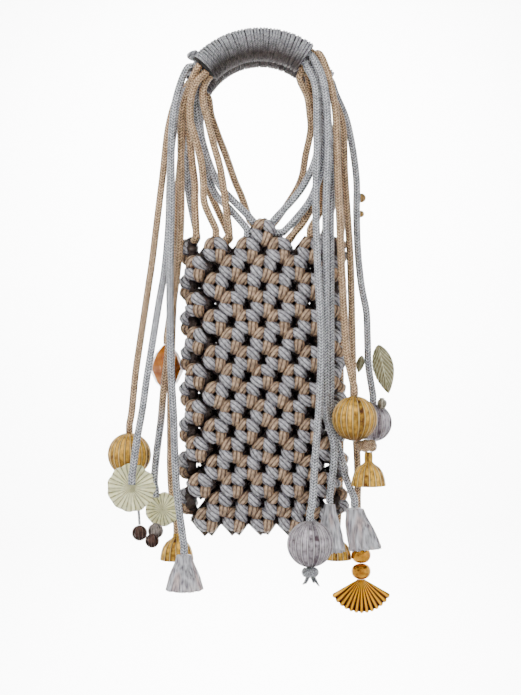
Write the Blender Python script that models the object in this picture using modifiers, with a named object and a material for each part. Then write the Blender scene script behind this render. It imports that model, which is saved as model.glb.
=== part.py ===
"""A knotted potli bag: a cord net pouch hung from a wound handle, with free cords that end in charms.

The origin is the underside of the handle's middle, where the bag hangs. X runs across the pouch,
-Y is its front and Z is up. All sizes are in metres.
"""

import math

import bmesh
import bpy
from mathutils import Matrix, Vector

# Gap that touching pieces keep
CLEARANCE = 0.0003

# Points closer than this are one point, and points nearer a cut than this lie on it
MERGE_DISTANCE = 0.00001
CUT_DISTANCE = 0.000001

# Cord, the same stock in silver and in rose gold
CORD = 0.0060
CORD_STEP_DIAMETERS = 3
CARRIER_STEP_DIAMETERS = 4
CURVE_STEPS = 12
CORD_BEVEL_STEPS = 2

# Handle: two wound bars side by side, bent to one arch
HAND_RADIUS = 0.0465
BAR = 0.027
BAR_STEP_DEGREES = 12
BAR_END_DEGREES = 1
BAR_BEVEL_STEPS = 4
FRONT_BAR_LEFT = 48
FRONT_BAR_RIGHT = 36
BACK_BAR_LEFT = 58
BACK_BAR_RIGHT = 56
SLOT_PITCH = 0.0072
EXIT_STRAIGHT = 0.0035

# Pouch: its inner size, the knots' lattice and the net's thickness
POUCH_MIDDLE = 0.002
POUCH_WIDTH = 0.1084
POUCH_DEPTH = 0.030
POUCH_BASE_DEPTH = 0.0008
POUCH_TOP = -0.150
KNOTS_ROUND = 10
KNOT_ROWS = 16
ROW_PITCH = 0.0142
KNOT_DEPTH = 0.010
TIE_DEPTH = 0.0055
CORNERS = 8
GAP_CORNERS = 4

# Shares of the knots' pitch
DIAGONAL_SEAT = 0.5
SEAT_LOOK_AHEAD = 0.2
LATTICE_MERGE = 0.01
LATTICE_NEAR = 0.5

# Edges sharper than this stay sharp when a piece is shaded smooth
FOLD_DEGREES = 40

# Charms
BALL_GOLD_LEFT = 0.0346
BALL_GOLD_RIGHT = 0.0350
BALL_SILVER_FRONT = 0.0356
BALL_SILVER_BACK = 0.0306
BALL_HOLE = 0.0066
BALL_SIDES = 12
BALL_RINGS = 5
TASSEL_LEFT_HEAD = 0.0126
TASSEL_LEFT_WIDTH = 0.0318
TASSEL_LEFT_LENGTH = 0.0290
TASSEL_INNER_HEAD = 0.0092
TASSEL_INNER_WIDTH = 0.0250
TASSEL_INNER_LENGTH = 0.0375
TASSEL_OUTER_HEAD = 0.0156
TASSEL_OUTER_WIDTH = 0.0284
TASSEL_OUTER_LEAN = 0.0090
TASSEL_OUTER_LENGTH = 0.0335
TASSEL_LOCKS = 9
TASSEL_BOUND = 0.14
TASSEL_PINCH = 0.2
BELL_WIDTH = 0.0272
BELL_HEIGHT = 0.0190
BELL_NECK = 0.0066
BELL_SHORT_NECK = 0.002
BELL_LONG_NECK = 0.0070
BELL_BACK_SHARE = 0.88
BELL_WALL = 0.0012
BELL_SIDES = 12
FAN_WIDTH = 0.0468
FAN_HEIGHT = 0.0260
FAN_THICK = 0.0130
FAN_NECK = 0.0100
FAN_BEAD = 0.0158
FAN_BEAD_HEIGHT = 0.0126
FAN_BEAD_SIDES = 12
FAN_PLEATS = 12
FAN_PINCH = 0.09
FAN_SAG = 0.45
SHELL_LARGE = 0.0372
SHELL_SMALL = 0.0270
SHELL_LARGE_PLEATS = 11
SHELL_SMALL_PLEATS = 9
SHELL_WALL = 0.0016
SHELL_BACK = 1.4
CRYSTAL_WIDTH = 0.0280
CRYSTAL_HEIGHT = 0.0370
CRYSTAL_TABLE = 0.0080
CRYSTAL_GIRDLE = 0.12
CRYSTAL_FACETS = 8
BERRY = 0.0122
BERRY_BELL = 0.0110
BERRY_STEM = 0.0022
BEAD_HOLE_SHARE = 0.35
BEAD_SIDES = 10
BEAD_RINGS = 4
LEAF_LARGE_LENGTH = 0.0400
LEAF_LARGE_WIDTH = 0.0170
LEAF_SMALL_LENGTH = 0.0140
LEAF_SMALL_WIDTH = 0.0060
LEAF_WALL = 0.0012
LEAF_SIDES = 14
LEAF_POINT = 1.4
LEAF_FOLD = 0.16
LEAF_TILT = 12
POT_BEAD = 0.0082
BRASS_BEAD_LARGE = 0.0074
BRASS_BEAD_SMALL = 0.0056
KNOT_WIDTH = 0.0166
KNOT_HEIGHT = 0.0092
KNOT_SIDES = 12
FRAYED_WIDTH = 0.0150
FRAYED_HEIGHT = 0.0150
FRAYED_SIDES = 10

# Outlines of turned charms, top to bottom
# radius it follows (R the widest, N the neck's or head's), share of that radius, share of the height
TASSEL_OUTLINE = (
    ("N", 0.0, 0.0),
    ("N", 0.8, 0.0),
    ("N", 1.0, -TASSEL_BOUND),
    ("R", 0.8, -0.6),
    ("R", 1.0, -1.0),
    ("R", 0.0, -1.0),
)
# Share of the widest radius, share of the height
BELL_OUTSIDE = ((0.72, -0.3), (1.0, -1.0))
BELL_INSIDE = ((1.0, -1.0), (0.72, -0.38))
BELL_CROWN = -0.24
# The radius it follows, share of that radius, share of the height
FAN_OUTLINE = (
    ("N", 0.0, 0.0),
    ("N", 0.8, 0.0),
    ("N", 1.0, -0.2),
    ("R", 0.6, -0.55),
    ("R", 1.0, -1.0),
    ("R", 0.0, -1.0),
)
# Share of the widest radius, share of the height or half height
FAN_BEAD_FLAT = 1 / 3
FAN_BEAD_OUTLINE = ((0.86, 0.55), (1.0, 0.0), (0.86, -0.55))
FRAYED_OUTLINE = ((0.0, 0.0), (0.5, 0.0), (0.85, -0.2), (0.5, -0.5), (1.0, -1.0), (0.0, -0.92))
KNOT_OUTLINE = ((0.0, 0.5), (0.52, 0.48), (1.0, 0.1), (0.88, -0.3), (0.4, -0.5), (0.0, -0.5))

# Places of charms from the end of their cord, or from the charm they hang from: right, back, up
SHELL_LARGE_SHIFT = (-0.001, 0, -0.003)
SHELL_SMALL_SHIFT = (0.005, 0, -0.010)
BERRY_SHIFT = (0.0054, 0, -0.0385)
BERRY_PALE_LIFT = 0.0016
BERRY_BELL_SHIFT = (0.0105, -0.0097, -0.0049)
STEM_TOP_SHIFT = 0.002
STEM_BEND_SHIFT = 0.003
STEM_BEND_DROP = 0.006
STEM_STRAIGHT = 0.004
KNOT_SHIFT = (0.0093, 0, 0.0009)
BELL_RIGHT_SHIFT = (0.0015, 0, 0)
POT_BEAD_WAY = (0.32, -0.49, 0.81)
LEAF_LARGE_SHIFT = (0.0081, -0.003, 0.0283)
LEAF_SMALL_SHIFT = (-0.0106, -0.004, 0.0323)
BRASS_BEAD_WAY = (0.6, 0.8, 0)
BRASS_BEAD_UPPER_PLACE = (0.077, 0.002, -0.106)
BRASS_BEAD_LOWER_PLACE = (0.077, 0.002, -0.119)

# Sections of the pouch from its top row (0) to its bottom row (1)
# down, width as a share of POUCH_WIDTH, depth as a share of POUCH_DEPTH
POUCH_SECTIONS = (
    (0.00, 1.00, 0.90),
    (0.35, 0.98, 1.00),
    (0.65, 1.00, 0.92),
    (0.85, 1.03, 0.50),
    (1.00, 1.02, 0.00),
)

# Places of the seven cords on a bar's end: share of the pitch outwards, share of the pitch to the back
HALF_TURN = math.sqrt(3) / 2
SLOTS = {
    "middle": (0, 0),
    "top": (1, 0),
    "top_front": (0.5, -HALF_TURN),
    "low_front": (-0.5, -HALF_TURN),
    "low": (-1, 0),
    "low_back": (-0.5, HALF_TURN),
    "top_back": (0.5, HALF_TURN),
}

# Free cords: name, bar, side, slot, finish and the route below the bar, down to the charm
STRANDS = (
    ("strand_left_1", "back", "left", "top", "rose_cord", (
        (-0.067, 0.010, -0.024), (-0.074, 0.004, -0.050), (-0.078, -0.002, -0.088),
        (-0.082, -0.006, -0.123), (-0.086, -0.008, -0.157), (-0.089, -0.009, -0.178),
        (-0.094, -0.010, -0.212), (-0.099, -0.010, -0.246), (-0.102, -0.010, -0.276),
        (-0.104, -0.010, -0.294))),
    ("strand_left_2", "back", "left", "top_front", "silver_cord", (
        (-0.064, 0.000, -0.028), (-0.070, -0.006, -0.061), (-0.072, -0.008, -0.093),
        (-0.073, -0.009, -0.129), (-0.076, -0.012, -0.165), (-0.080, -0.018, -0.191),
        (-0.085, -0.025, -0.225), (-0.089, -0.029, -0.252), (-0.092, -0.032, -0.275),
        (-0.096, -0.034, -0.298), (-0.099, -0.034, -0.320), (-0.100, -0.034, -0.333))),
    ("strand_left_3", "front", "left", "top_front", "rose_to_silver_cord", (
        (-0.056, -0.015, -0.020), (-0.061, -0.013, -0.035), (-0.063, -0.012, -0.054),
        (-0.063, -0.012, -0.086), (-0.063, -0.011, -0.121), (-0.065, -0.010, -0.156),
        (-0.070, -0.008, -0.197), (-0.074, -0.007, -0.236), (-0.077, -0.008, -0.260),
        (-0.079, -0.009, -0.284), (-0.082, -0.012, -0.308), (-0.084, -0.013, -0.331),
        (-0.083, -0.013, -0.345))),
    ("strand_left_4", "front", "left", "top", "silver_cord", (
        (-0.058, -0.015, -0.006), (-0.064, -0.018, -0.021), (-0.068, -0.022, -0.040),
        (-0.070, -0.023, -0.070), (-0.070, -0.023, -0.111), (-0.071, -0.023, -0.158),
        (-0.071, -0.023, -0.205), (-0.070, -0.023, -0.246), (-0.068, -0.023, -0.283),
        (-0.067, -0.023, -0.315), (-0.065, -0.023, -0.345), (-0.061, -0.023, -0.374),
        (-0.060, -0.023, -0.388))),
    ("strand_left_5", "back", "left", "middle", "rose_cord", (
        (-0.060, 0.014, -0.034), (-0.064, 0.013, -0.067), (-0.067, 0.011, -0.107),
        (-0.068, 0.007, -0.156), (-0.070, 0.002, -0.196), (-0.071, 0.000, -0.228),
        (-0.072, 0.000, -0.268), (-0.072, 0.000, -0.300), (-0.072, 0.001, -0.327),
        (-0.070, 0.001, -0.353), (-0.067, 0.001, -0.375))),
    ("strand_left_6", "back", "left", "top_back", "rose_cord", (
        (-0.061, 0.020, -0.029), (-0.064, 0.021, -0.066), (-0.066, 0.021, -0.106),
        (-0.070, 0.020, -0.155), (-0.072, 0.019, -0.188), (-0.076, 0.018, -0.224))),
    ("strand_right_1", "front", "right", "low_front", "silver_cord", (
        (0.037, -0.020, -0.007), (0.042, -0.023, -0.017), (0.044, -0.026, -0.033),
        (0.044, -0.030, -0.072), (0.043, -0.033, -0.112), (0.044, -0.036, -0.152),
        (0.045, -0.038, -0.179), (0.047, -0.039, -0.219), (0.046, -0.040, -0.259),
        (0.044, -0.042, -0.290), (0.042, -0.045, -0.312), (0.040, -0.050, -0.343),
        (0.038, -0.052, -0.359))),
    ("strand_right_2", "front", "right", "top_front", "silver_cord", (
        (0.044, -0.025, -0.004), (0.049, -0.027, -0.017), (0.052, -0.028, -0.037),
        (0.053, -0.029, -0.061), (0.052, -0.030, -0.092), (0.051, -0.031, -0.122),
        (0.051, -0.032, -0.151), (0.051, -0.031, -0.189), (0.051, -0.031, -0.232),
        (0.051, -0.031, -0.260), (0.052, -0.031, -0.282), (0.057, -0.031, -0.301),
        (0.057, -0.031, -0.318), (0.055, -0.029, -0.335), (0.054, -0.028, -0.348))),
    ("strand_right_3", "front", "right", "top", "rose_cord", (
        (0.047, -0.015, 0.005), (0.052, -0.018, -0.007), (0.056, -0.022, -0.024),
        (0.059, -0.024, -0.043), (0.060, -0.025, -0.071), (0.061, -0.025, -0.101),
        (0.063, -0.025, -0.151), (0.065, -0.027, -0.192), (0.067, -0.031, -0.228),
        (0.071, -0.035, -0.250), (0.073, -0.036, -0.264))),
    ("strand_right_4", "back", "right", "top_front", "rose_cord", (
        (0.058, 0.002, -0.026), (0.063, -0.002, -0.039), (0.066, -0.005, -0.055),
        (0.067, -0.008, -0.089), (0.069, -0.009, -0.120), (0.071, -0.009, -0.150),
        (0.072, -0.008, -0.178), (0.073, -0.006, -0.219), (0.074, -0.004, -0.259),
        (0.075, -0.002, -0.284), (0.077, 0.000, -0.308), (0.078, 0.003, -0.333),
        (0.078, 0.006, -0.354), (0.080, 0.008, -0.373), (0.081, 0.008, -0.387))),
    ("strand_right_5", "back", "right", "top", "silver_cord", (
        (0.061, 0.012, -0.022), (0.069, 0.008, -0.042), (0.074, 0.004, -0.067),
        (0.077, 0.002, -0.093), (0.077, 0.002, -0.119), (0.078, 0.002, -0.149),
        (0.081, 0.003, -0.177), (0.085, 0.004, -0.198), (0.086, 0.006, -0.219),
        (0.087, 0.009, -0.241), (0.091, 0.012, -0.272))),
    ("strand_right_6", "back", "right", "top_back", "rose_cord", (
        (0.061, 0.022, -0.026), (0.067, 0.024, -0.055), (0.067, 0.021, -0.100),
        (0.065, 0.019, -0.150), (0.065, 0.019, -0.220), (0.065, 0.019, -0.300),
        (0.064, 0.018, -0.345), (0.062, 0.014, -0.379))),
    ("strand_right_7", "back", "right", "low_front", "silver_cord", (
        (0.049, 0.005, -0.030), (0.055, 0.000, -0.051), (0.058, -0.008, -0.069),
        (0.057, -0.017, -0.093), (0.055, -0.024, -0.119), (0.055, -0.025, -0.151),
        (0.055, -0.025, -0.189), (0.055, -0.025, -0.228), (0.055, -0.025, -0.256),
        (0.055, -0.024, -0.279), (0.059, -0.024, -0.299), (0.063, -0.023, -0.312),
        (0.067, -0.022, -0.328), (0.074, -0.018, -0.352))),
)

# Carrying cords: name, bar, side, slot, finish, the knot's column and row, its edge, and the route between
CARRIERS = (
    ("carrier_left_1", "front", "left", "low_front", "rose_cord", -3, 1, "up", (
        (-0.051, -0.021, -0.019), (-0.055, -0.022, -0.033), (-0.055, -0.022, -0.049),
        (-0.051, -0.022, -0.063), (-0.047, -0.021, -0.079), (-0.045, -0.020, -0.096),
        (-0.044, -0.019, -0.113))),
    ("carrier_left_2", "front", "left", "top_back", "rose_cord", -5, 1, "up_right", (
        (-0.056, -0.006, -0.017), (-0.058, -0.006, -0.037), (-0.056, -0.007, -0.061),
        (-0.054, -0.008, -0.081), (-0.052, -0.008, -0.097), (-0.052, -0.010, -0.112))),
    ("carrier_left_3", "front", "left", "low", "rose_cord", -3, 1, "up_right", (
        (-0.045, -0.017, -0.022), (-0.045, -0.018, -0.033), (-0.042, -0.019, -0.046),
        (-0.037, -0.020, -0.066), (-0.032, -0.021, -0.084), (-0.029, -0.021, -0.101),
        (-0.027, -0.020, -0.117))),
    ("carrier_left_4", "front", "left", "middle", "silver_cord", 0, 0, "up_left", (
        (-0.050, -0.011, -0.019), (-0.051, -0.013, -0.034), (-0.049, -0.013, -0.050),
        (-0.044, -0.012, -0.070), (-0.038, -0.012, -0.087), (-0.031, -0.013, -0.100),
        (-0.022, -0.015, -0.110))),
    ("carrier_left_5", "front", "left", "low_back", "silver_cord", -1, 1, "up", (
        (-0.047, -0.003, -0.027), (-0.048, -0.004, -0.049), (-0.044, -0.004, -0.077),
        (-0.040, -0.005, -0.095), (-0.034, -0.007, -0.107), (-0.024, -0.012, -0.117))),
    ("carrier_left_6", "back", "left", "low", "rose_cord", -10, 0, "up_right", (
        (-0.042, 0.013, -0.025), (-0.040, 0.013, -0.038), (-0.035, 0.013, -0.053),
        (-0.028, 0.014, -0.071), (-0.021, 0.015, -0.091), (-0.015, 0.016, -0.105))),
    ("carrier_left_7", "back", "left", "low_front", "silver_cord", -5, 1, "up_left", (
        (-0.055, 0.008, -0.039), (-0.058, 0.007, -0.067), (-0.058, 0.007, -0.100))),
    ("carrier_left_8", "back", "left", "low_back", "rose_cord", -7, 1, "up_left", (
        (-0.053, 0.024, -0.026), (-0.054, 0.027, -0.044), (-0.050, 0.028, -0.069),
        (-0.042, 0.026, -0.098))),
    ("carrier_right_1", "front", "right", "middle", "silver_cord", 0, 0, "up_right", (
        (0.043, -0.014, -0.009), (0.045, -0.015, -0.027), (0.046, -0.016, -0.051),
        (0.044, -0.017, -0.075), (0.037, -0.018, -0.093), (0.028, -0.018, -0.107))),
    ("carrier_right_2", "front", "right", "top_back", "silver_cord", 0, 0, "right", (
        (0.045, -0.009, -0.009), (0.050, -0.008, -0.026), (0.051, -0.008, -0.050),
        (0.050, -0.009, -0.078), (0.044, -0.013, -0.099), (0.036, -0.017, -0.115))),
    ("carrier_right_3", "front", "right", "low_back", "rose_cord", 1, 1, "up_right", (
        (0.040, -0.003, -0.021), (0.045, -0.001, -0.041), (0.047, -0.001, -0.069),
        (0.045, -0.002, -0.094), (0.041, -0.008, -0.113), (0.034, -0.014, -0.127))),
    ("carrier_right_4", "front", "right", "low", "rose_cord", 10, 0, "up_left", (
        (0.031, -0.014, -0.014), (0.037, -0.009, -0.027), (0.039, -0.006, -0.039),
        (0.040, -0.003, -0.053), (0.036, 0.002, -0.073), (0.033, 0.007, -0.090),
        (0.026, 0.013, -0.104))),
    ("carrier_right_5", "back", "right", "low", "rose_cord", 3, 1, "up", (
        (0.044, 0.009, -0.037), (0.049, 0.007, -0.067), (0.050, 0.005, -0.094),
        (0.048, -0.004, -0.116))),
    ("carrier_right_6", "back", "right", "middle", "silver_cord", 9, 1, "up_left", (
        (0.052, 0.017, -0.030), (0.053, 0.020, -0.058), (0.048, 0.022, -0.090),
        (0.037, 0.020, -0.114))),
    ("carrier_right_7", "back", "right", "low_back", "silver_cord", 7, 1, "up_left", (
        (0.052, 0.025, -0.027), (0.058, 0.026, -0.057), (0.060, 0.020, -0.094),
        (0.057, 0.015, -0.117))),
)

# A knot's edges in the lattice: columns across and rows down, from the knot's middle
EDGES = {"up": (0, -1), "up_left": (-1, -1), "up_right": (1, -1), "right": (1, 0)}

# Finish: colour, roughness, metallic
FINISHES = {
    "silver_cord": ((0.56, 0.56, 0.58), 0.55, 0.2),
    "rose_cord": ((0.55, 0.40, 0.29), 0.55, 0.2),
    "rose_to_silver_cord": ((0.55, 0.46, 0.38), 0.55, 0.2),
    "winding": ((0.42, 0.41, 0.43), 0.6, 0.1),
    "knotted_cord": ((0.47, 0.40, 0.35), 0.6, 0.1),
    "gold_thread": ((0.75, 0.55, 0.25), 0.4, 0.6),
    "silver_thread": ((0.60, 0.60, 0.63), 0.4, 0.5),
    "gold_metal": ((0.80, 0.50, 0.12), 0.3, 1.0),
    "shell_enamel": ((0.70, 0.72, 0.50), 0.4, 0.3),
    "dark_metal": ((0.16, 0.11, 0.09), 0.4, 0.8),
    "amber_glass": ((0.80, 0.35, 0.05), 0.1, 0.0),
}


def clear_scene():
    for leftover in list(bpy.data.objects):
        bpy.data.objects.remove(leftover)


def finish(name):
    """The Principled material of one of the finishes."""
    if name in bpy.data.materials:
        return bpy.data.materials[name]
    colour, roughness, metallic = FINISHES[name]
    material = bpy.data.materials.new(name)
    material.use_nodes = True
    shader = material.node_tree.nodes["Principled BSDF"]
    shader.inputs["Base Color"].default_value = (*colour, 1)
    shader.inputs["Roughness"].default_value = roughness
    shader.inputs["Metallic"].default_value = metallic
    return material


def add_piece(name, data, finish_name):
    """A new object of the bag, made from a mesh or a curve."""
    data.materials.append(finish(finish_name))
    piece = bpy.data.objects.new(name, data)
    bag.objects.link(piece)
    return piece


def add_mesh(name, bm, finish_name):
    """A new object from a bmesh, shaded smooth with its folds kept sharp."""
    mesh = bpy.data.meshes.new(name)
    bm.to_mesh(mesh)
    bm.free()
    mesh.shade_smooth()
    mesh.set_sharp_from_angle(angle=math.radians(FOLD_DEGREES))
    return add_piece(name, mesh, finish_name)


def below(place, drop):
    """A point straight below another."""
    return Vector(place) - Vector((0, 0, drop))


def smooth_line(route, step):
    """A cord's line along the Catmull-Rom curve through its route, with points about a step apart.

    The first and last stretches stay as they are, so that a cord's ends are square to its bearings.
    """
    route = [Vector(point) for point in route]
    fine = []
    for a, b, c, d in zip(route, route[1:], route[2:], route[3:]):
        for i in range(CURVE_STEPS):
            t = i / CURVE_STEPS
            fine.append((2 * b + (c - a) * t + (2 * a - 5 * b + 4 * c - d) * t**2
                         + (3 * b - a - 3 * c + d) * t**3) / 2)
    fine.append(route[-2])
    along = [0.0]
    for a, b in zip(fine, fine[1:]):
        along.append(along[-1] + (b - a).length)
    count = round(along[-1] / step)
    line = [route[0]]
    i = 0
    for k in range(count + 1):
        target = along[-1] * k / count
        while i < len(fine) - 2 and along[i + 1] < target:
            i += 1
        line.append(fine[i].lerp(fine[i + 1], (target - along[i]) / (along[i + 1] - along[i])))
    line.append(route[-1])
    return line


def add_tube(name, line, diameter, finish_name, bevel_steps=CORD_BEVEL_STEPS):
    """A round tube along a line, as a curve with filled caps."""
    curve = bpy.data.curves.new(name, "CURVE")
    curve.dimensions = "3D"
    curve.bevel_depth = diameter / 2
    curve.bevel_resolution = bevel_steps
    curve.use_fill_caps = True
    spline = curve.splines.new("POLY")
    spline.points.add(len(line) - 1)
    for point, place in zip(spline.points, line):
        point.co = (*place, 1)
    return add_piece(name, curve, finish_name)


def bar_depth(bar):
    """How far back a bar's middle line lies."""
    return (BAR + CLEARANCE) / 2 * (-1 if bar == "front" else 1)


def bar_place(bar, angle):
    """A point of a bar's middle line; the angle runs from the top, to the right."""
    radius = HAND_RADIUS + BAR / 2
    turn = math.radians(angle)
    return Vector((radius * math.sin(turn), bar_depth(bar),
                   radius * math.cos(turn) - HAND_RADIUS))


BAR_ENDS = {
    ("front", "left"): -FRONT_BAR_LEFT,
    ("front", "right"): FRONT_BAR_RIGHT,
    ("back", "left"): -BACK_BAR_LEFT,
    ("back", "right"): BACK_BAR_RIGHT,
}


def make_handle():
    """Two wound bars, each a tube along its share of the arch."""
    for bar in ("front", "back"):
        start = BAR_ENDS[bar, "left"]
        end = BAR_ENDS[bar, "right"]
        count = round((end - start) / BAR_STEP_DEGREES)
        angles = [start + (end - start) * i / count for i in range(count + 1)]
        # A short first and last step leave the ends square to the arch
        angles = [start, start + BAR_END_DEGREES, *angles[1:-1], end - BAR_END_DEGREES, end]
        line = [bar_place(bar, angle) for angle in angles]
        add_tube(f"handle_bar_{bar}", line, BAR, "winding", BAR_BEVEL_STEPS)


def cord_exit(bar, side, slot):
    """Where a cord leaves a bar's end, and the point where it starts to bend."""
    angle = BAR_ENDS[bar, side]
    turn = math.radians(angle)
    outwards = Vector((math.sin(turn), 0, math.cos(turn)))
    along = Vector((math.cos(turn), 0, -math.sin(turn))) * math.copysign(1, angle)
    out, back = SLOTS[slot]
    place = bar_place(bar, angle) + outwards * out * SLOT_PITCH
    place += Vector((0, back * SLOT_PITCH, 0)) + along * CLEARANCE
    return place, place + along * EXIT_STRAIGHT


def pouch_section(row):
    """The pouch's inner half width and half depth at a row, eased between the table's sections."""
    down = min(max((row - 1) / (KNOT_ROWS - 1), 0), 1)
    for (low, width_a, depth_a), (high, width_b, depth_b) in zip(POUCH_SECTIONS, POUCH_SECTIONS[1:]):
        if down <= high:
            share = (down - low) / (high - low)
            share = share * share * (3 - 2 * share)
            width = width_a + (width_b - width_a) * share
            depth = depth_a + (depth_b - depth_a) * share
            break
    depth = POUCH_BASE_DEPTH + (POUCH_DEPTH - POUCH_BASE_DEPTH) * depth
    return POUCH_WIDTH * width / 2, depth / 2


def pouch_place(column, row):
    """A point of the pouch's inner face and the way out of it there.

    Column 0 is the middle of the front, KNOTS_ROUND / 2 the right side, and KNOTS_ROUND the middle
    of the back. The section is a flat front and back joined by round sides.
    """
    half_width, half_depth = pouch_section(row)
    turn = (column + KNOTS_ROUND) % (2 * KNOTS_ROUND) - KNOTS_ROUND
    behind = abs(turn) > KNOTS_ROUND / 2
    from_middle = KNOTS_ROUND - abs(turn) if behind else abs(turn)
    flat = half_width - half_depth
    along = from_middle / (KNOTS_ROUND / 2) * (flat + math.pi * half_depth / 2)
    if along <= flat:
        across, deep, normal = along, half_depth, (0, 1)
    else:
        bend = (along - flat) / half_depth
        across = flat + half_depth * math.sin(bend)
        deep = half_depth * math.cos(bend)
        normal = (math.sin(bend), math.cos(bend))
    side = math.copysign(1, turn)
    face = 1 if behind else -1
    place = Vector((POUCH_MIDDLE + side * across, face * deep, POUCH_TOP - ROW_PITCH * (row - 1)))
    return place, Vector((side * normal[0], face * normal[1], 0))


# Half a gap between knots, as a share of half their pitch, for knots with eight equal edges
GAP_SHARE = 1 / (2 + math.sqrt(2))


def knot_seat(column, row, edge):
    """Where a carrying cord meets a knot's edge, and the point where it starts to bend."""
    across, down = EDGES[edge]
    reach = DIAGONAL_SEAT if across and down else 1 - GAP_SHARE
    place, normal = pouch_place(column + across * reach, row + down * reach)
    further = reach + SEAT_LOOK_AHEAD
    beyond, _ = pouch_place(column + across * further, row + down * further)
    away = (beyond - place).normalized()
    place = place + normal * TIE_DEPTH / 2 + away * CLEARANCE * 2
    return place, place + away * CORD


def make_net():
    """The net's inner face as an open mesh, one eight-sided fan a knot, with a gap between four knots."""
    bm = bmesh.new()
    lean = math.pi / CORNERS
    reach = (1 - GAP_SHARE) / math.cos(lean)
    peaks = [(0, 0), (-KNOTS_ROUND, 0)]
    field = [(column, row) for row in range(1, KNOT_ROWS + 1)
             for column in range(-KNOTS_ROUND, KNOTS_ROUND) if (column + row) % 2 == 0]
    for column, row in peaks + field:
        place = Matrix.Translation((column, row, 0)) @ Matrix.Rotation(lean, 4, "Z")
        bmesh.ops.create_circle(bm, cap_ends=True, cap_tris=True, segments=CORNERS, radius=reach,
                                matrix=place)
    bmesh.ops.remove_doubles(bm, verts=bm.verts, dist=LATTICE_MERGE)
    # At the sides the cords are drawn tight, so the gaps there are shut
    for side in (-KNOTS_ROUND / 2, KNOTS_ROUND / 2):
        for row in range(2, KNOT_ROWS):
            if (side + row) % 2 == 1:
                shut = [edge for edge in bm.edges if edge.is_boundary
                        and (sum((v.co for v in edge.verts), Vector()) / 2
                             - Vector((side, row, 0))).length < LATTICE_NEAR]
                bmesh.ops.holes_fill(bm, edges=shut, sides=GAP_CORNERS)
    depth = bm.verts.layers.deform.new()
    for vert in bm.verts:
        middle = len(vert.link_edges) == CORNERS and not vert.is_boundary
        vert[depth][0] = 1 if middle else TIE_DEPTH / KNOT_DEPTH
        vert.co = pouch_place(vert.co.x, vert.co.y)[0]
    bmesh.ops.remove_doubles(bm, verts=bm.verts, dist=MERGE_DISTANCE)
    bmesh.ops.recalc_face_normals(bm, faces=bm.faces)
    return bm


def make_pouch():
    """Front and back panels, which meet along the sides and the base."""
    for name, face in (("pouch_front", -1), ("pouch_back", 1)):
        bm = make_net()
        geometry = [*bm.verts, *bm.edges, *bm.faces]
        bmesh.ops.bisect_plane(bm, geom=geometry, dist=CUT_DISTANCE,
                               plane_co=(0, face * CLEARANCE / 2, 0),
                               plane_no=(0, -face, 0), clear_outer=True)
        panel = add_mesh(name, bm, "knotted_cord")
        panel.vertex_groups.new(name="knot_depth")
        wall = panel.modifiers.new("wall", "SOLIDIFY")
        wall.thickness = KNOT_DEPTH
        wall.offset = 1
        wall.vertex_group = "knot_depth"


def make_carriers():
    """Cords from the handle to the pouch's top knots."""
    for name, bar, side, slot, finish_name, column, row, edge, route in CARRIERS:
        seat, before = knot_seat(column, row, edge)
        line = smooth_line([*cord_exit(bar, side, slot), *route, before, seat],
                           CORD * CARRIER_STEP_DIAMETERS)
        add_tube(name, line, CORD, finish_name)


def make_strands():
    """Free cords; returns the end of each by its name."""
    ends = {}
    for name, bar, side, slot, finish_name, route in STRANDS:
        end = Vector(route[-1])
        line = smooth_line([*cord_exit(bar, side, slot), *route[:-1], below(end, -CORD), end],
                           CORD * CORD_STEP_DIAMETERS)
        add_tube(name, line, CORD, finish_name)
        ends[name] = end
    return ends


def add_turned(name, profile, sides, place, finish_name):
    """A turned piece from its profile of radius and height, top to bottom."""
    bm = bmesh.new()
    points = [bm.verts.new((radius, 0, height)) for radius, height in profile]
    for a, b in zip(points, points[1:]):
        bm.edges.new((a, b))
    piece = add_mesh(name, bm, finish_name)
    piece.location = place
    screw = piece.modifiers.new("turned", "SCREW")
    screw.steps = sides
    screw.render_steps = sides
    screw.use_merge_vertices = True
    screw.merge_threshold = MERGE_DISTANCE
    screw.use_smooth_shade = True
    return piece


def outline(shares, widest, neck, height):
    """A turned profile from its table of shares."""
    radii = {"R": widest, "N": neck}
    return [(radii[which] * share, height * down) for which, share, down in shares]


def reshape(piece, rule):
    """Turns a piece's modifiers into its mesh, and moves each point by a rule."""
    evaluated = piece.evaluated_get(bpy.context.evaluated_depsgraph_get())
    mesh = bpy.data.meshes.new_from_object(evaluated)
    piece.modifiers.clear()
    for vert in mesh.vertices:
        vert.co = rule(vert.co)
    piece.data = mesh


def add_ball(name, diameter, place, finish_name, hole=BALL_HOLE, sides=BALL_SIDES, rings=BALL_RINGS):
    """A wound ball round a place, flat where its cord goes in and out."""
    first = math.asin(hole / diameter)
    angles = [first + (math.pi - 2 * first) * i / rings for i in range(rings + 1)]
    profile = [(diameter / 2 * math.sin(a), diameter / 2 * math.cos(a)) for a in angles]
    profile = [(0, profile[0][1]), *profile, (0, profile[-1][1])]
    return add_turned(name, profile, sides, place, finish_name)


def hung_ball(name, diameter, end, finish_name):
    """A ball whose top sits at a cord's end; returns its middle."""
    half_height = math.sqrt(diameter**2 - BALL_HOLE**2) / 2
    middle = below(end, CLEARANCE + half_height)
    add_ball(name, diameter, middle, finish_name)
    return middle, half_height


def add_bead(name, diameter, place, finish_name):
    """A small bead, drilled for its thread."""
    add_ball(name, diameter, place, finish_name, diameter * BEAD_HOLE_SHARE, BEAD_SIDES, BEAD_RINGS)


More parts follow.
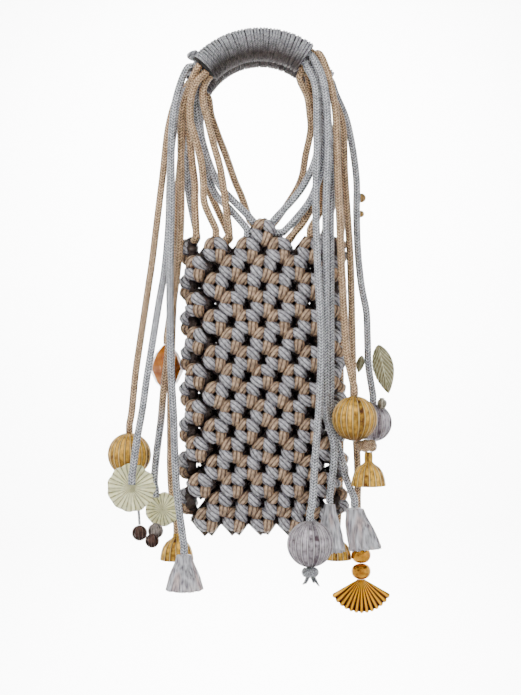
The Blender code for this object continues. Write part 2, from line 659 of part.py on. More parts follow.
def add_tassel(name, head_width, width, length, end, lean=0):
    """A tassel: a bound head, and a skirt whose locks are fused to it and may lean aside."""
    profile = outline(TASSEL_OUTLINE, width / 2, head_width / 2, length)
    piece = add_turned(name, profile, 2 * TASSEL_LOCKS, below(end, CLEARANCE), "silver_thread")

    def lock(point):
        fall = max(-point.z / length - TASSEL_BOUND, 0)
        side = round(math.atan2(point.y, point.x) / math.pi * TASSEL_LOCKS) % 2
        pinch = 1 - TASSEL_PINCH * fall * side
        return Vector((point.x * pinch + lean * fall, point.y * pinch, point.z))

    reshape(piece, lock)


def add_bell(name, place, share=1, neck_length=BELL_SHORT_NECK):
    """A hollow bell cap that hangs from its neck; its share is of the full size."""
    neck = BELL_NECK / 2
    rim = BELL_WIDTH / 2 * share
    height = BELL_HEIGHT * share
    profile = [(0, 0), (neck, 0), (neck, -neck_length)]
    profile += [(rim * out, height * down - neck_length) for out, down in BELL_OUTSIDE]
    profile += [(rim * out - BELL_WALL, height * down - neck_length) for out, down in BELL_INSIDE]
    profile.append((0, height * BELL_CROWN - neck_length))
    add_turned(name, profile, BELL_SIDES, place, "gold_metal")


def add_shell(name, diameter, pleats, place):
    """A pleated round shell that faces the front, its pleats deepest at the rim."""
    half = SHELL_WALL / 2
    radius = diameter / 2
    profile = [(0, half), (radius, half), (radius, -half), (0, -half)]
    piece = add_turned(name, profile, 2 * pleats, place, "shell_enamel")

    def pleat(point):
        out = math.hypot(point.x, point.y) / radius
        side = round(math.atan2(point.y, point.x) / math.pi * pleats) % 2
        lift = side * SHELL_WALL * out
        return Vector((point.x, point.z + lift, point.y))

    reshape(piece, pleat)
    piece.data.flip_normals()


def add_leaf(name, length, width, place, tilt):
    """A thin leaf folded along its midrib, its length along Z before it is tilted."""
    bm = bmesh.new()
    bmesh.ops.create_circle(bm, cap_ends=True, cap_tris=True, segments=LEAF_SIDES, radius=1)
    for vert in bm.verts:
        across = abs(vert.co.x) ** LEAF_POINT * math.copysign(1, vert.co.x)
        vert.co = Vector((across * width / 2, -abs(across) * width * LEAF_FOLD, vert.co.y * length / 2))
    leaf = add_mesh(name, bm, "shell_enamel")
    leaf.location = place
    leaf.rotation_euler = (0, math.radians(tilt), 0)
    wall = leaf.modifiers.new("wall", "SOLIDIFY")
    wall.thickness = LEAF_WALL
    wall.offset = 0


def make_fan(end):
    """Two gold beads over a pleated, flattened gold fan."""
    bead_half = FAN_BEAD_HEIGHT / 2
    upper = below(end, CLEARANCE + bead_half)
    lower = below(upper, FAN_BEAD_HEIGHT + CLEARANCE)
    flat = FAN_NECK * FAN_BEAD_FLAT
    profile = [(0, bead_half), (flat, bead_half)]
    profile += [(FAN_BEAD / 2 * out, bead_half * up) for out, up in FAN_BEAD_OUTLINE]
    profile += [(flat, -bead_half), (0, -bead_half)]
    for name, place in (("fan_bead_upper", upper), ("fan_bead_lower", lower)):
        add_turned(name, profile, FAN_BEAD_SIDES, place, "gold_metal")
    top = below(lower, bead_half + CLEARANCE)
    neck = FAN_NECK / 2
    widest = FAN_WIDTH / 2
    piece = add_turned("gold_fan", outline(FAN_OUTLINE, widest, neck, FAN_HEIGHT), 2 * FAN_PLEATS, top,
                       "gold_metal")

    def spread(point):
        out = max(math.hypot(point.x, point.y) - neck, 0) / (widest - neck)
        side = round(math.atan2(point.y, point.x) / math.pi * FAN_PLEATS) % 2
        pinch = 1 - FAN_PINCH * out * side
        flatten = 1 + (FAN_THICK / FAN_WIDTH - 1) * out
        sag = FAN_HEIGHT * FAN_SAG * (point.x / widest) ** 2 * out
        return Vector((point.x * pinch, point.y * pinch * flatten, point.z + sag))

    reshape(piece, spread)


def make_left_charms(ends):
    """Charms of the left cords."""
    hung_ball("gold_ball_left", BALL_GOLD_LEFT, ends["strand_left_1"], "gold_thread")
    add_tassel("silver_tassel_left", TASSEL_LEFT_HEAD, TASSEL_LEFT_WIDTH, TASSEL_LEFT_LENGTH,
               ends["strand_left_4"])
    add_bell("gold_bell_left", below(ends["strand_left_5"], CLEARANCE))

    half = CRYSTAL_HEIGHT / 2
    table = CRYSTAL_TABLE / 2
    girdle = half * CRYSTAL_GIRDLE
    profile = [(0, half), (table, half), (CRYSTAL_WIDTH / 2, girdle), (CRYSTAL_WIDTH / 2, -girdle),
               (table, -half), (0, -half)]
    add_turned("amber_crystal", profile, CRYSTAL_FACETS, below(ends["strand_left_6"], CLEARANCE + half),
               "amber_glass")

    # The shells hang behind the ends of their cords, which are stitched to their faces
    behind = Vector((0, (CORD + SHELL_WALL) / 2 + CLEARANCE, 0))
    end = ends["strand_left_2"]
    large = end + behind + Vector(SHELL_LARGE_SHIFT)
    add_shell("shell_large", SHELL_LARGE, SHELL_LARGE_PLEATS, large)
    add_shell("shell_small", SHELL_SMALL, SHELL_SMALL_PLEATS,
              ends["strand_left_3"] + behind + Vector(SHELL_SMALL_SHIFT))

    # Three little beads hang on a thin stem from behind the large shell
    stem_depth = large.y + SHELL_WALL * SHELL_BACK + CLEARANCE + BERRY_STEM / 2
    dark = Vector((end.x, stem_depth, end.z)) + Vector(BERRY_SHIFT)
    stem = [Vector((end.x + STEM_TOP_SHIFT, stem_depth, large.z)),
            Vector((end.x + STEM_BEND_SHIFT, stem_depth, large.z - STEM_BEND_DROP)),
            below(dark, -BERRY / 2 - STEM_STRAIGHT), below(dark, -BERRY / 2 - CLEARANCE)]
    add_tube("berry_stem", smooth_line(stem, BERRY_STEM * CORD_STEP_DIAMETERS), BERRY_STEM, "silver_cord")
    add_bead("berry_dark", BERRY, dark, "dark_metal")
    pale = dark + Vector((BERRY + CLEARANCE, 0, BERRY_PALE_LIFT))
    add_bead("berry_pale", BERRY, pale, "dark_metal")
    add_bead("berry_bell", BERRY_BELL, dark + Vector(BERRY_BELL_SHIFT), "dark_metal")


def make_right_charms(ends):
    """Charms of the right cords."""
    middle, half = hung_ball("silver_ball_front", BALL_SILVER_FRONT, ends["strand_right_1"], "silver_thread")
    profile = [(FRAYED_WIDTH / 2 * out, FRAYED_HEIGHT * down) for out, down in FRAYED_OUTLINE]
    add_turned("silver_ball_knot", profile, FRAYED_SIDES, below(middle, half + CLEARANCE), "silver_cord")

    add_tassel("silver_tassel_inner", TASSEL_INNER_HEAD, TASSEL_INNER_WIDTH, TASSEL_INNER_LENGTH,
               ends["strand_right_2"])
    add_tassel("silver_tassel_outer", TASSEL_OUTER_HEAD, TASSEL_OUTER_WIDTH, TASSEL_OUTER_LENGTH,
               ends["strand_right_7"], TASSEL_OUTER_LEAN)

    middle, half = hung_ball("gold_ball_right", BALL_GOLD_RIGHT, ends["strand_right_3"], "gold_thread")
    # A flat knot hangs off the ball's lower right, and a bell under it
    knot = below(middle, half + CLEARANCE + KNOT_HEIGHT / 2) + Vector(KNOT_SHIFT)
    profile = [(KNOT_WIDTH / 2 * out, KNOT_HEIGHT * up) for out, up in KNOT_OUTLINE]
    add_turned("gold_ball_knot", profile, KNOT_SIDES, knot, "rose_cord")
    add_bell("gold_bell_right", below(knot, KNOT_HEIGHT / 2 + CLEARANCE) + Vector(BELL_RIGHT_SHIFT),
             neck_length=BELL_LONG_NECK)

    make_fan(ends["strand_right_4"])
    add_bell("gold_bell_back", below(ends["strand_right_6"], CLEARANCE), BELL_BACK_SHARE)

    middle, half = hung_ball("silver_ball_back", BALL_SILVER_BACK, ends["strand_right_5"], "silver_thread")
    # A little pot bead rests on the ball's shoulder, in front and to the right
    reach = (BALL_SILVER_BACK + POT_BEAD) / 2 + CLEARANCE
    shoulder = Vector(POT_BEAD_WAY).normalized()
    add_bead("pot_bead", POT_BEAD, middle + shoulder * reach, "dark_metal")

    # Leaves are stitched to the cord above the ball, one each side
    end = ends["strand_right_5"]
    add_leaf("leaf_large", LEAF_LARGE_LENGTH, LEAF_LARGE_WIDTH, end + Vector(LEAF_LARGE_SHIFT), -LEAF_TILT)
    add_leaf("leaf_small", LEAF_SMALL_LENGTH, LEAF_SMALL_WIDTH, end + Vector(LEAF_SMALL_SHIFT), LEAF_TILT)

    # Two brass beads are stitched to the back of the outer cord
    for name, diameter, place in (
        ("brass_bead_upper", BRASS_BEAD_LARGE, BRASS_BEAD_UPPER_PLACE),
        ("brass_bead_lower", BRASS_BEAD_SMALL, BRASS_BEAD_LOWER_PLACE),
    ):
        aside = Vector(BRASS_BEAD_WAY) * ((CORD + diameter) / 2 + CLEARANCE)
        add_bead(name, diameter, Vector(place) + aside, "gold_metal")


clear_scene()
bag = bpy.data.collections.new("knotted_potli_bag")
bpy.context.scene.collection.children.link(bag)
make_handle()
make_pouch()
make_carriers()
strand_ends = make_strands()
make_left_charms(strand_ends)
make_right_charms(strand_ends)
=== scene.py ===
"""The dressed look of a knotted potli bag: net pouch, wound handle, and free cords that end in charms."""

import math

import bpy
from mathutils import Matrix, Vector


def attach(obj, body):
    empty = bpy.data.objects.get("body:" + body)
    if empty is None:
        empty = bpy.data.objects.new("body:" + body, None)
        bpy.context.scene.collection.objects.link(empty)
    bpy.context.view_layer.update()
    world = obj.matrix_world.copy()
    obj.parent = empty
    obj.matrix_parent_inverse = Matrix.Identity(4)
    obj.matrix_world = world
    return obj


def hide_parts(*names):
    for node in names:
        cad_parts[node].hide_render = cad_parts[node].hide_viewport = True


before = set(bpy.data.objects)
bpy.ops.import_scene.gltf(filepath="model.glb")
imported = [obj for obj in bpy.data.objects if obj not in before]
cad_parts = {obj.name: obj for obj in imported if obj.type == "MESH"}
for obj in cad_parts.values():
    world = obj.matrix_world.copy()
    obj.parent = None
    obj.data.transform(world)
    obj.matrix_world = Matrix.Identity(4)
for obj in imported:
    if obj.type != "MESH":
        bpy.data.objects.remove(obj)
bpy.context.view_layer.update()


# Studio. The bag hangs in a round cove of white paper, a floor that curves up into a wall, open
# above. The camera stands level with the middle of the bag, a little over a metre in front of it.

CAMERA_PLACE = (0, -1.2, -0.2264)
CAMERA_LENS = 77.7
CAMERA_WIDTH = 36
AIR_LIGHT = 0.12
# Name, power, size, spread in degrees, place, aim
LAMPS = (
    ("key_lamp", 23, 0.5, 180, (-0.45, -0.85, 1.0), (0, 0, -0.2)),
    ("fill_lamp", 2, 0.9, 180, (1.0, -1.0, 0.1), (0, 0, -0.25)),
    ("wall_lamp", 240, 1.4, 80, (0, 0.9, 1.5), (0, 2.8, -0.45)),
)
COVE_RADIUS = 2.8
COVE_BEND = 0.5
COVE_FLOOR = -1.2
COVE_TOP = 1.7
COVE_PINHOLE = 0.001
COVE_BEND_STEPS = 10
COVE_SIDES = 64
PAPER_WHITE = (0.93, 0.93, 0.93, 1)
PAPER_ROUGHNESS = 0.9


def place_object(name, data):
    """A new object of the scene."""
    item = bpy.data.objects.new(name, data)
    bpy.context.scene.collection.objects.link(item)
    return item


camera_data = bpy.data.cameras.new("camera")
camera_data.lens = CAMERA_LENS
camera_data.sensor_width = CAMERA_WIDTH
camera = place_object("camera", camera_data)
camera.location = CAMERA_PLACE
camera.rotation_euler = (math.pi / 2, 0, 0)
bpy.context.scene.camera = camera

world = bpy.data.worlds.new("studio_air")
bpy.context.scene.world = world
world.use_nodes = True
world.node_tree.nodes["Background"].inputs["Color"].default_value = (1, 1, 1, 1)
world.node_tree.nodes["Background"].inputs["Strength"].default_value = AIR_LIGHT

for name, power, size, spread_degrees, place, aim in LAMPS:
    lamp = bpy.data.lights.new(name, "AREA")
    lamp.energy = power
    lamp.size = size
    lamp.spread = math.radians(spread_degrees)
    lamp_holder = place_object(name, lamp)
    lamp_holder.location = place
    lamp_holder.rotation_euler = (Vector(aim) - Vector(place)).to_track_quat("-Z", "Y").to_euler()

cove_line = [(COVE_PINHOLE, COVE_FLOOR), (COVE_RADIUS - COVE_BEND, COVE_FLOOR)]
for i in range(1, COVE_BEND_STEPS + 1):
    bend = i / COVE_BEND_STEPS * math.pi / 2
    cove_line.append((COVE_RADIUS - COVE_BEND * (1 - math.sin(bend)),
                      COVE_FLOOR + COVE_BEND * (1 - math.cos(bend))))
cove_line.append((COVE_RADIUS, COVE_TOP))
cove_turns = [j * math.tau / COVE_SIDES for j in range(COVE_SIDES)]
cove_points = [(radius * math.cos(turn), radius * math.sin(turn), height)
               for radius, height in cove_line for turn in cove_turns]
cove_faces = [(i * COVE_SIDES + j, i * COVE_SIDES + (j + 1) % COVE_SIDES,
               (i + 1) * COVE_SIDES + (j + 1) % COVE_SIDES, (i + 1) * COVE_SIDES + j)
              for i in range(len(cove_line) - 1) for j in range(COVE_SIDES)]
cove_mesh = bpy.data.meshes.new("paper_cove")
cove_mesh.from_pydata(cove_points, [], cove_faces)
cove_mesh.shade_smooth()
paper = bpy.data.materials.new("white_paper")
paper.use_nodes = True
paper.node_tree.nodes["Principled BSDF"].inputs["Base Color"].default_value = PAPER_WHITE
paper.node_tree.nodes["Principled BSDF"].inputs["Roughness"].default_value = PAPER_ROUGHNESS
cove_mesh.materials.append(paper)
cove = place_object("paper_cove", cove_mesh)


# Free cords. Each is a length of round braided cord, silver or rose gold metallic yarn over a soft
# core. It leaves the end of a wound bar and hangs, and its last inches carry a charm.

CORD = 0.0060
CORD_RING_STEP = 0.0008
CORD_SIDES = 24
CURVE_STEPS = 16
BRAID_COLUMNS = 8
PLAITS_A_DIAMETER = 2.6
PLAIT_SLANT = 0.9
PLAIT_ROUNDNESS = 0.6
COLUMN_ROUNDNESS = 0.5
COLUMN_GROOVE = 0.6
FIBRES_A_PLAIT = 3
FIBRE_GROOVE = 0.12
BRAID_RELIEF = 0.0005
BRAID_DEPTH = 0.07
YARN_ROUGHNESS = 0.42
YARN_METAL = 0.2
YARN_SHINE = 0.35
# The pit colours are painted shade, used where the braid's relief falls below the pit level
PIT_SHADE_LEVEL = 0.28
SILVER = (0.60, 0.61, 0.64)
SILVER_PIT_SHADE = (0.024, 0.022, 0.026)
ROSE = (0.68, 0.46, 0.27)
ROSE_PIT_SHADE = (0.040, 0.017, 0.008)
SPLICE_HEIGHT = -0.268
SPLICE_LENGTH = 0.024


class Value:
    """A socket of a node tree, so that sums on it are written as plain sums."""

    def __init__(self, tree, socket):
        self.tree = tree
        self.socket = socket

    def calc(self, operation, *values):
        return make_node(self.tree, "ShaderNodeMath", {"operation": operation}, values)

    def __add__(self, other):
        return self.calc("ADD", self, other)

    def __sub__(self, other):
        return self.calc("SUBTRACT", self, other)

    def __rsub__(self, other):
        return self.calc("SUBTRACT", other, self)

    def __mul__(self, other):
        return self.calc("MULTIPLY", self, other)

    def __truediv__(self, other):
        return self.calc("DIVIDE", self, other)

    def __rtruediv__(self, other):
        return self.calc("DIVIDE", other, self)

    def __pow__(self, other):
        return self.calc("POWER", self, other)

    def __gt__(self, other):
        return self.calc("GREATER_THAN", self, other)

    def __abs__(self):
        return self.calc("ABSOLUTE", self)

    def floor(self):
        return self.calc("FLOOR", self)

    def held(self, most=1.0):
        """Kept between 0 and a most."""
        return make_node(self.tree, "ShaderNodeClamp", (), [self, 0.0, most])

    def output(self, name):
        """Another output of the same node."""
        return Value(self.tree, self.socket.node.outputs[name])

    __radd__ = __add__
    __rmul__ = __mul__


def make_node(tree, kind, settings=(), values=(), output=0):
    """One node with its settings, its sockets' values or links, and the output that is wanted."""
    node = tree.nodes.new(kind)
    for key, value in dict(settings).items():
        setattr(node, key, value)
    for key, value in values.items() if isinstance(values, dict) else enumerate(values):
        socket = node.inputs[key]
        if isinstance(value, Value):
            tree.links.new(value.socket, socket)
        elif socket.type == "RGBA":
            socket.default_value = (*value, 1)
        else:
            socket.default_value = value
    return Value(tree, node.outputs[output])


def mix_colour(tree, share, low, high):
    """A colour between two, by a share."""
    return make_node(tree, "ShaderNodeMix", {"data_type": "RGBA"}, {0: share, 6: low, 7: high}, 2)


def wave(value):
    """0 at whole numbers and 1 half way between them."""
    angle = value * math.pi
    return abs(angle.calc("SINE", angle))


def shallow(value, depth):
    """A relief of a smaller depth, its top still at 1."""
    return value * depth + (1 - depth)


def read_uv(tree):
    """The piece's own way round (u) and way along (v)."""
    uv = make_node(tree, "ShaderNodeUVMap", {"uv_map": "UVMap"})
    return [make_node(tree, "ShaderNodeSeparateXYZ", (), [uv], i) for i in (0, 1)]


def read_place(tree):
    """The point of the piece, in metres."""
    return make_node(tree, "ShaderNodeTexCoord", (), (), 3)


def mottle(tree, scale, detail=3.0, place=None):
    """Soft uneven spots, from 0 to 1."""
    return make_node(tree, "ShaderNodeTexNoise", {"noise_dimensions": "3D"},
                     {"Vector": place or read_place(tree), "Scale": scale, "Detail": detail})


def start_finish(name, roughness, metallic, **constants):
    """A new material: its tree and its shader."""
    material = bpy.data.materials.new(name)
    material.use_nodes = True
    shader = material.node_tree.nodes["Principled BSDF"]
    for key, value in {"Roughness": roughness, "Metallic": metallic, **constants}.items():
        shader.inputs[key.replace("_", " ")].default_value = value
    return material, material.node_tree, shader


def set_surface(tree, shader, colour, height, relief):
    """Gives a shader its colour, and a relief from a height between 0 and 1."""
    tree.links.new(colour.socket, shader.inputs["Base Color"])
    bump = make_node(tree, "ShaderNodeBump", (), {"Strength": 1.0, "Distance": relief, "Height": height})
    tree.links.new(bump.socket, shader.inputs["Normal"])


def braid_pattern(tree, columns, plaits):
    """Height, and a random tone for each plait, of a braid whose columns slant turn and turn about."""
    u, v = read_uv(tree)
    column = (u * columns).floor()
    inside = u * columns - column
    slant = (column.calc("FLOORED_MODULO", column, 2.0) * 2 - 1) * (inside - 0.5)
    along = v * plaits + slant * PLAIT_SLANT
    cell = make_node(tree, "ShaderNodeCombineXYZ", (), [column, along.floor(), 0.0])
    tone = make_node(tree, "ShaderNodeTexWhiteNoise", {"noise_dimensions": "3D"}, [cell])
    plait = wave(along) ** PLAIT_ROUNDNESS * shallow(wave(inside) ** COLUMN_ROUNDNESS, COLUMN_GROOVE)
    return plait * shallow(wave(along * FIBRES_A_PLAIT), FIBRE_GROOVE), tone


def cord_finish(name, spliced=False):
    """Braided metallic cord, bright plaits with painted shade between them; rose can be spliced to silver.
    """
    material, tree, shader = start_finish(name, YARN_ROUGHNESS, YARN_METAL, Specular_IOR_Level=YARN_SHINE)
    height, tone = braid_pattern(tree, BRAID_COLUMNS, PLAITS_A_DIAMETER)
    light, dark = (SILVER, SILVER_PIT_SHADE) if name == "silver_cord" else (ROSE, ROSE_PIT_SHADE)
    if spliced:
        level = make_node(tree, "ShaderNodeSeparateXYZ", (), [read_place(tree)], 2)
        down = ((SPLICE_HEIGHT - level) / SPLICE_LENGTH).held()
        light = mix_colour(tree, down, light, SILVER)
        dark = mix_colour(tree, down, dark, SILVER_PIT_SHADE)
    # Painted shade: the low places of the braid turn to the near black pit colour
    share = ((height - PIT_SHADE_LEVEL) * (tone * 0.7 + 0.75) * 1.5).held()
    set_surface(tree, shader, mix_colour(tree, share, dark, light), height, BRAID_RELIEF)
    return material


silver_cord = cord_finish("silver_cord")
rose_cord = cord_finish("rose_cord")
CORD_FINISHES = {
    "silver_cord": silver_cord,
    "rose_cord": rose_cord,
    "rose_to_silver_cord": cord_finish("rose_to_silver_cord", spliced=True),
}


class Shape:
    """The points, faces and surface places of one piece while it is being made."""

    def __init__(self):
        self.points = []
        self.faces = []
        self.places = []

    def grid(self, rows, places, caps=True):
        """Joins rings of points to a skin, with its ends closed."""
        start = len(self.points)
        wide = len(rows[0])
        for row in rows:
            self.points.extend(row)
        for i in range(len(rows) - 1):
            for j in range(wide):
                a = start + i * wide + j
                b = start + i * wide + (j + 1) % wide
                self.faces.append((a, b, b + wide, a + wide))
                self.places.append((places(i, j), places(i, j + 1), places(i + 1, j + 1), places(i + 1, j)))
        for i, turn in ((0, 1), (len(rows) - 1, -1)) if caps else ():
            self.points.append(sum((Vector(p) for p in rows[i]), Vector()) / wide)
            for j in range(wide):
                a = start + i * wide + j
                b = start + i * wide + (j + 1) % wide
                self.faces.append((b, a, len(self.points) - 1)[::turn])
                self.places.append((places(i, j + 1), places(i, j), places(i, j + 0.5))[::turn])

    def tube(self, line, radius, sides, across=0.0, ripple=None, caps=True):
        """A tube along a line; its v counts in diameters and its radius may ripple by u and v."""
        line = [Vector(point) for point in line]
        steps = [b - a for a, b in zip(line, line[1:])]
        aim = [steps[0], *[a.normalized() + b.normalized() for a, b in zip(steps, steps[1:])], steps[-1]]
        aim = [step.normalized() for step in aim]
        side = aim[0].orthogonal().normalized()
        along = [0.0]
        for step in steps:
            along.append(along[-1] + step.length)
        rows = []
        for i, (point, forward) in enumerate(zip(line, aim)):
            side = (side - forward * side.dot(forward)).normalized()
            up = forward.cross(side)
            row = []
            for j in range(sides):
                turn = math.tau * j / sides
                reach = radius if ripple is None else radius * ripple(j / sides, along[i] / (2 * radius), i)
                row.append(point + (side * math.cos(turn) + up * math.sin(turn)) * reach)
            rows.append(row)
        self.grid(rows, lambda i, j: (across + j / sides, along[i] / (2 * radius)), caps)

    def turned(self, profile, sides, place, ripple=None):
        """A turned body from a profile of radius and height, top to bottom, closed on its axis."""
        place = Vector(place)
        along = [0.0]
        for a, b in zip(profile, profile[1:]):
            along.append(along[-1] + math.dist(a, b))
        rows = []
        for i, (radius, height) in enumerate(profile):
            row = []
            for j in range(sides):
                turn = -math.tau * j / sides
                reach = radius * (1 if ripple is None else ripple(j / sides, along[i] / along[-1]))
                row.append(place + Vector((reach * math.cos(turn), reach * math.sin(turn), height)))
            rows.append(row)
        self.grid(rows, lambda i, j: (j / sides, along[i] / along[-1]))

    def mesh(self, name, finish):
        """The finished mesh, smooth, with its UV map and material."""
        mesh = bpy.data.meshes.new(name)
        mesh.from_pydata([tuple(point) for point in self.points], [], self.faces)
        layer = mesh.uv_layers.new(name="UVMap")
        layer.data.foreach_set("uv", [value for face in self.places for place in face for value in place])
        mesh.materials.append(finish)
        mesh.shade_smooth()
        mesh.update()
        return mesh


def add_piece(name, mesh, node):
    """A piece of the bag that stands for one of its solids."""
    piece = place_object(name, mesh)
    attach(piece, "root")
    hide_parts(node)
    return piece


def smooth_line(route, step):
    """A cord's line along the Catmull-Rom curve through its route; its end stretches stay straight."""
    route = [Vector(point) for point in route]
    fine = [route[0]]
    for a, b, c, d in zip(route, route[1:], route[2:], route[3:]):
        for t in [i / CURVE_STEPS for i in range(CURVE_STEPS)]:
            fine.append(0.5 * (2 * b + (c - a) * t + (2 * a - 5 * b + 4 * c - d) * t**2
                               + (3 * b - a - 3 * c + d) * t**3))
    fine += [route[-2], route[-1]]
    along = [0.0]
    for a, b in zip(fine, fine[1:]):
        along.append(along[-1] + (b - a).length)
    count = round(along[-1] / step)
    line = []
    i = 0
    for k in range(count + 1):
        target = along[-1] * k / count
        while i < len(fine) - 2 and along[i + 1] < target:
            i += 1
        line.append(fine[i].lerp(fine[i + 1], (target - along[i]) / (along[i + 1] - along[i])))
    return line, along[-1]


def braid_ripple(columns, plaits, depth):
    """The low relief of a braid, as a share of its radius."""
    def ripple(u, v, _):
        across = u * columns
        inside = across % 1
        slant = (math.floor(across) % 2 * 2 - 1) * (inside - 0.5)
        ridge = abs(math.sin(math.pi * (v * plaits + slant * PLAIT_SLANT)))
        return 1 - depth + depth * ridge * abs(math.sin(math.pi * inside)) ** COLUMN_ROUNDNESS
    return ripple


def add_cord(name, finish_name, route):
    """A braided cord along a route, in place of its solid."""
    line, length = smooth_line(route, CORD_RING_STEP)
    shape = Shape()
    ripple = braid_ripple(BRAID_COLUMNS, PLAITS_A_DIAMETER, BRAID_DEPTH)
    shape.tube(line, CORD / 2, CORD_SIDES, ripple=ripple)
    piece = add_piece(name + "_braid", shape.mesh(name + "_braid", CORD_FINISHES[finish_name]),
                      name)
    return piece, line, length


